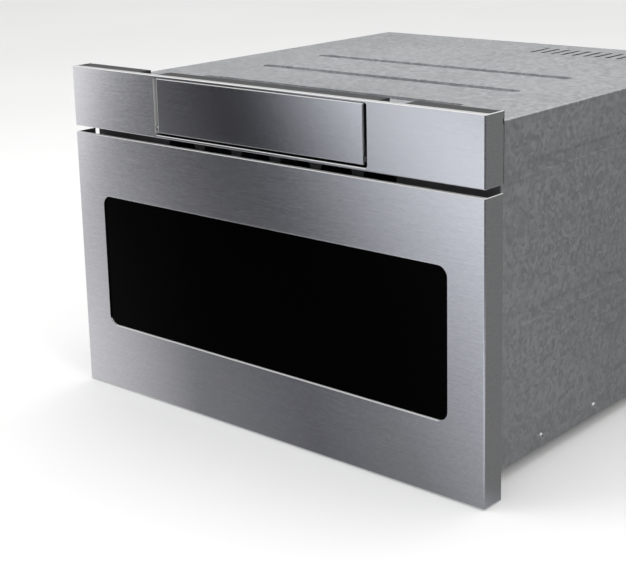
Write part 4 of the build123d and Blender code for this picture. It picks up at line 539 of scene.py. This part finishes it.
class StageSettings(bpy.types.PropertyGroup):
    floor: FloatVectorProperty(name="Floor", description="Colour of the floor",
                               subtype="COLOR", default=(0.86, 0.86, 0.855))
    world: FloatProperty(name="Room light", description="Strength of the even light all round", default=0.95)
    key_power: FloatProperty(name="Key light", description="Power of the main soft light in watts",
                             default=22.0)
    lens: FloatProperty(name="Lens", description="Focal length in millimetres", default=80.19)
    azimuth: FloatProperty(name="Azimuth", description="Camera round to the right, in degrees", default=41.55)
    elevation: FloatProperty(name="Elevation", description="Camera above level, in degrees", default=12.86)
    roll: FloatProperty(name="Roll", description="Camera's tilt about its axis, in degrees", default=-1.35)
    rise: FloatProperty(name="Shift", description="Vertical shift of the picture, in frame widths",
                        default=-0.16)


class DrawerSettings(bpy.types.PropertyGroup):
    steel: PointerProperty(type=SteelSettings)
    keys: PointerProperty(type=KeySettings)
    stage: PointerProperty(type=StageSettings)


# ---------------------------------------------------------------- operators
class StageOperator(bpy.types.Operator):
    """Add the camera, the floor, the lights and the room that reflections see"""

    bl_idname = "microwave_drawer.stage"
    bl_label = "Stage"

    def execute(self, context):
        wanted = settings().stage
        self.camera(context.scene, wanted)

        shape = bmesh.new()
        bmesh.ops.create_grid(shape, x_segments=1, y_segments=1, size=FLOOR_REACH)
        floor = new_piece("floor", shape, floor_paint("studio_floor", wanted.floor))

        self.reflected_room()

        world = bpy.data.worlds.new("studio")
        world.use_nodes = True
        sky = world.node_tree.nodes["Background"].inputs
        sky["Color"].default_value = grey(1.0)
        sky["Strength"].default_value = wanted.world
        context.scene.world = world

        for name, place, target, width, share in LAMPS:
            self.soft_light(name, place, target, width, wanted.key_power * share)
        return {"FINISHED"}

    def camera(self, scene, wanted):
        """Adds the camera, turned, tilted and shifted as the settings say."""
        turn = math.radians(wanted.azimuth)
        lift = math.radians(wanted.elevation)
        roll = math.radians(wanted.roll)
        back = Vector((math.sin(turn) * math.cos(lift), -math.cos(turn) * math.cos(lift), math.sin(lift)))
        right = (-back).cross(Vector((0.0, 0.0, 1.0))).normalized()
        up = right.cross(-back)
        across = math.cos(roll) * right + math.sin(roll) * up
        upward = math.cos(roll) * up - math.sin(roll) * right
        stand = Matrix((across, upward, back)).transposed().to_4x4()
        camera = bpy.data.objects.new("camera", bpy.data.cameras.new("camera"))
        scene.collection.objects.link(camera)
        camera.matrix_world = Matrix.Translation(CAMERA_PLACE) @ stand
        camera.data.sensor_width = SENSOR_WIDTH
        camera.data.lens = wanted.lens
        camera.data.shift_y = wanted.rise
        scene.camera = camera
        scene.view_settings.view_transform = "Standard"

    def reflected_room(self):
        """Adds the floor and the walls of a room that only reflections see."""
        shape = bmesh.new()
        bmesh.ops.create_grid(shape, x_segments=1, y_segments=1, size=ROOM_RADIUS,
                              matrix=Matrix.Translation((0.0, 0.0, ROOM_FLOOR)))
        self.card("room_floor", shape, room_floor_glow())
        shape = bmesh.new()
        bmesh.ops.create_uvsphere(shape, u_segments=64, v_segments=32, radius=ROOM_RADIUS)
        bmesh.ops.bisect_plane(shape, geom=shape.verts[:] + shape.edges[:] + shape.faces[:],
                               plane_co=(0, 0, ROOM_FLOOR), plane_no=(0, 0, -1), clear_outer=True)
        bmesh.ops.reverse_faces(shape, faces=shape.faces)
        self.card("room_walls", shape, room_wall_glow())

    def card(self, name, shape, material):
        """Adds a surface of the reflected room."""
        held = new_piece(name, shape, material)
        held.visible_camera = False
        held.visible_diffuse = False
        held.visible_shadow = False
        held.visible_transmission = False

    def soft_light(self, name, place, target, width, power):
        """Adds a square lamp that faces the target."""
        lamp = bpy.data.lights.new(name, "AREA")
        lamp.size = width
        lamp.energy = power
        held = bpy.data.objects.new(name, lamp)
        held.location = place
        held.rotation_mode = "QUATERNION"
        held.rotation_quaternion = (Vector(target) - Vector(place)).to_track_quat("-Z", "Y")
        held.visible_glossy = False
        bpy.context.scene.collection.objects.link(held)


class FrontsOperator(bpy.types.Operator):
    """Finish the brushed fronts, the glass and the screen behind the window"""

    bl_idname = "microwave_drawer.fronts"
    bl_label = "Fronts"

    def execute(self, context):
        wanted = settings().steel
        # painted highlights along level edges of the window and on upward bends of the drawer front
        finish_nodes(brushed_steel("brushed_steel", wanted, highlight_edges=WINDOW_HIGHLIGHTS), "drawer_front_skin")

        flap_low, flap_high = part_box("flap_face")
        fascia_low, fascia_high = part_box("fascia_skin")
        # painted highlights along the sill under the flap's aperture, on the aperture's side walls and along
        # the fascia's top bend
        sill_highlight = (flap_high.x + SILL_OVERHANG, fascia_low.z + POD_SILL, 1.0)
        aperture = brushed_steel("brushed_steel_with_aperture", wanted, highlight_from=fascia_high.z - TOP_BEND,
                                 highlight_wall=flap_high.x + POD_GAP, highlight_edges=(sill_highlight,))
        finish_nodes(aperture, "fascia_skin")

        # painted highlights along the flap's top and bottom edges
        top_edge_highlight = (flap_high.x, flap_high.z, 0.8)
        bottom_edge_highlight = (flap_high.x, flap_low.z + EDGE_BAND + 2 * EDGE_GAP, 0.2)
        fine = brushed_steel("fine_brushed_steel", wanted, gloss=0.055, stretch=1.6,
                             highlight_edges=(top_edge_highlight, bottom_edge_highlight))
        finish_nodes(fine, "flap_face")

        finish_nodes(black_glass("window_black", 0.0004), "window_glass")
        finish_nodes(black_glass("touch_black", 0.004), "touch_glass")
        finish_nodes(perforated("window_screen_sheet", 0.05, 0.004, 0.0021), "window_screen")
        return {"FINISHED"}


class CabinetOperator(bpy.types.Operator):
    """Finish the cabinet, the drawer behind its front and the works inside"""

    bl_idname = "microwave_drawer.cabinet"
    bl_label = "Cabinet and works"

    def execute(self, context):
        finish_nodes(zinc("zinc_sheet", (0.50, 0.51, 0.52), (0.34, 0.35, 0.36), 0.46),
                     "outer_wrapper", "back_panel", "waveguide", "vent_duct", "stirrer_motor", "fan_motor",
                     "drive_motor", "pod_motor")
        finish_nodes(enamel("frame_enamel", (0.12, 0.12, 0.125), (0.09, 0.09, 0.094), 0.42), "front_frame")
        finish_nodes(enamel("pan_enamel", (0.018, 0.018, 0.02), (0.01, 0.01, 0.011), 0.42), "base_pan")
        finish_nodes(enamel("cavity_enamel", (0.36, 0.37, 0.37), (0.30, 0.31, 0.31), 0.34),
                     "oven_cavity", "inner_panel", "drawer_tub")
        finish_nodes(zinc("slide_zinc", (0.66, 0.67, 0.68), (0.5, 0.51, 0.52), 0.34),
                     "rail_outer_left", "rail_outer_right", "rail_middle_left", "rail_middle_right",
                     "rail_inner_left", "rail_inner_right", "support_arm_left", "support_arm_right",
                     "hinge_pins", "cabinet_screws", "drawer_screws")
        finish_nodes(zinc("raw_aluminium", (0.7, 0.7, 0.71), (0.55, 0.55, 0.56), 0.3),
                     "magnetron", "stirrer_blade", "high_voltage_capacitor")
        # the sector gear and the pod pinion take this black moulding so that the gaps beside the flap stay
        # dark: painted shade
        finish_nodes(moulded("black_moulding", (0.022, 0.022, 0.022), (0.014, 0.014, 0.014), 0.5),
                     "door_frame", "choke_cover", "fascia_support_left", "fascia_support_right",
                     "pod_housing", "pod_body", "fan_housing", "fan_blade", "interlock_switches",
                     "cord_gland", "sector_gear", "pod_pinion")
        finish_nodes(moulded("grey_moulding", (0.33, 0.33, 0.34), (0.27, 0.27, 0.28), 0.5), "air_duct")
        finish_nodes(moulded("white_moulding", (0.8, 0.8, 0.77), (0.7, 0.7, 0.67), 0.42),
                     "drive_pinion", "gear_rack", "rack_guide", "interlock_brackets", "latch_hooks",
                     "stirrer_cover", "oven_lamp")
        finish_nodes(moulded("black_rubber", (0.016, 0.016, 0.016), (0.01, 0.01, 0.01), 0.8, 1500.0),
                     "front_bumpers", "glides")
        finish_nodes(laminations("iron_laminations"), "high_voltage_transformer")
        finish_nodes(circuit("green_board"), "power_board", "control_board")
        finish_nodes(clear_tray("tray_ceramic"), "floor_tray")
        return {"FINISHED"}


class RecessesOperator(bpy.types.Operator):
    """Paint the shade of a cross recess on every screw head as flat dark bars"""

    bl_idname = "microwave_drawer.recesses"
    bl_label = "Screw recesses"

    def execute(self, context):
        # painted shade: near-black flat bars stand in for the shaded hollow of each cross recess
        shade = moulded("recess_shade", (0.03, 0.03, 0.03), (0.015, 0.015, 0.015), 0.7)
        for node, body in (("cabinet_screws", "chassis"), ("drawer_screws", "drawer")):
            crosses = bmesh.new()
            for middle, normal in self.head_tops(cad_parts[node].data):
                turn = normal.to_track_quat("Z", "Y").to_matrix().to_4x4()
                self.cross(crosses, Matrix.Translation(middle) @ turn)
            new_piece(node + "_recesses", crosses, shade, body)
        return {"FINISHED"}

    def head_tops(self, mesh):
        """The middle and the normal of each head's flat round top."""
        copy = bmesh.new()
        copy.from_mesh(mesh)
        bmesh.ops.remove_doubles(copy, verts=copy.verts[:], dist=WELD)
        left = set(copy.faces)
        tops = []
        while left:
            first = left.pop()
            flat, ahead = [first], [first]
            while ahead:
                for edge in ahead.pop().edges:
                    for face in edge.link_faces:
                        if face in left and face.normal.dot(first.normal) > SAME_PLANE:
                            left.discard(face)
                            flat.append(face)
                            ahead.append(face)
            rim = {tuple(vert.co) for face in flat for vert in face.verts}
            middle = sum((Vector(spot) for spot in rim), Vector()) / len(rim)
            reach = max((Vector(spot) - middle).length for spot in rim)
            if len(flat) > 3 and abs(reach - SCREW_TOP) < SCREW_SLACK:
                tops.append((middle, first.normal.copy()))
        copy.free()
        return sorted(tops, key=lambda top: tuple(top[0]))

    def cross(self, shape, where):
        """Adds two crossed bars, a hair proud of the head, that carry the painted shade of a cross recess."""
        size = Matrix.Diagonal((*RECESS_BAR, 1.0))
        for angle in (0.0, math.pi / 2):
            turned = where @ Matrix.Rotation(angle, 4, "Z")
            bmesh.ops.create_cube(shape, size=1.0, matrix=turned @ size)


class KeysOperator(bpy.types.Operator):
    """Print the numbers, signs, rings and clock on the touch glass"""

    bl_idname = "microwave_drawer.keys"
    bl_label = "Touch keys"

    def execute(self, context):
        wanted = settings().keys
        glass = self.glass_plane()
        legend = bmesh.new()
        spots = [(column, row) for row in (0, 1) for column in range(KEY_COLUMNS)]
        for number, (column, row) in enumerate(spots):
            u = (column - (KEY_COLUMNS - 1) / 2) * wanted.pitch
            v = (0.5 - row) * wanted.pitch
            self.ring(legend, u, v, wanted.ring)
            self.write(legend, str((number + 1) % 10), wanted.digit, u, v)
        for side in (-1, 1):
            for row, corners in enumerate((3, 4)):
                u = side * SIDE_KEY_COLUMN * wanted.pitch
                v = (0.5 - row) * wanted.pitch
                self.ring(legend, u, v, wanted.ring)
                self.sign(legend, u, v, wanted.ring * SIGN_SIZE, corners, side)
        legend.transform(glass)
        ink = printed("key_ink", wanted.ink, 0.4)
        new_piece("key_legends", legend, ink, "control_pod")

        clock = bmesh.new()
        self.write(clock, CLOCK_TIME, wanted.digit * CLOCK_SIZE, CLOCK_COLUMN * wanted.pitch, 0.0)
        clock.transform(glass)
        glow = printed("clock_glow", (0.45, 0.8, 1.0), 1.6)
        new_piece("clock_digits", clock, glow, "control_pod")
        return {"FINISHED"}

    def glass_plane(self):
        """The sloping face of the touch glass: x across it, y up it, z out of it."""
        low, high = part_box("touch_glass")
        drop = (high.z - low.z) - GLASS_THICKNESS / math.cos(GLASS_SLOPE)
        run = high.y - low.y
        up = Vector((0.0, run, -drop)).normalized()
        across = Vector((1.0, 0.0, 0.0))
        out = across.cross(up)
        plane = Matrix((across, up, out)).transposed().to_4x4()
        plane.translation = Vector((0.0, low.y + run / 2, high.z - drop / 2)) + out * INK_HEIGHT
        return plane

    def write(self, shape, words, height, u, v):
        """Adds flat characters centred on a point of the glass."""
        curve = bpy.data.curves.new(words, "FONT")
        curve.body = words
        curve.size = height * FONT_BODY
        curve.align_x = "CENTER"
        curve.align_y = "CENTER"
        holder = bpy.data.objects.new(words, curve)
        bpy.context.scene.collection.objects.link(holder)
        bpy.context.view_layer.update()
        mesh = bpy.data.meshes.new_from_object(holder)
        bpy.data.objects.remove(holder)
        mesh.transform(Matrix.Translation((u, v, 0.0)))
        shape.from_mesh(mesh)
        bpy.data.meshes.remove(mesh)

    def ring(self, shape, u, v, radius):
        """Adds a thin flat ring."""
        made = bmesh.ops.create_circle(shape, cap_ends=True, segments=40, radius=radius,
                                       matrix=Matrix.Translation((u, v, 0.0)))
        disc = {face for vert in made["verts"] for face in vert.link_faces}
        bmesh.ops.inset_region(shape, faces=list(disc), thickness=RING_WIDTH)
        bmesh.ops.delete(shape, geom=list(disc), context="FACES_ONLY")

    def sign(self, shape, u, v, radius, corners, side):
        """Adds a small plain triangle or square."""
        turn = math.pi / 4 if corners == 4 else -side * math.pi / 2
        where = Matrix.Translation((u, v, 0.0)) @ Matrix.Rotation(turn, 4, "Z")
        bmesh.ops.create_circle(shape, cap_ends=True, segments=corners, radius=radius, matrix=where)


class DrawerPanel(bpy.types.Panel):
    """Buttons and settings for the stage and each group of pieces"""

    bl_idname = "VIEW3D_PT_microwave_drawer"
    bl_label = "Microwave drawer"
    bl_space_type = "VIEW_3D"
    bl_region_type = "UI"
    bl_category = "Drawer"

    def draw(self, context):
        for operator in OPERATORS:
            self.layout.operator(operator.bl_idname)
        wanted = settings()
        for group, names in (
            (wanted.steel, ("light", "dark", "roughness", "across", "grain_pitch", "grain_length")),
            (wanted.keys, ("digit", "ring", "pitch", "ink")),
            (wanted.stage, ("floor", "world", "key_power", "lens", "azimuth", "elevation", "roll", "rise")),
        ):
            for name in names:
                self.layout.prop(group, name)


OPERATORS = (StageOperator, CabinetOperator, FrontsOperator, RecessesOperator, KeysOperator)
GROUPS = (SteelSettings, KeySettings, StageSettings, DrawerSettings)


def register():
    for item in (*GROUPS, *OPERATORS, DrawerPanel):
        bpy.utils.register_class(item)
    bpy.types.Scene.microwave_drawer = PointerProperty(type=DrawerSettings)


def unregister():
    del bpy.types.Scene.microwave_drawer
    for item in reversed((*GROUPS, *OPERATORS, DrawerPanel)):
        bpy.utils.unregister_class(item)


def main():
    register()
    for name in ("stage", "cabinet", "fronts", "recesses", "keys"):
        getattr(bpy.ops.microwave_drawer, name)()


if __name__ == "__main__":
    main()
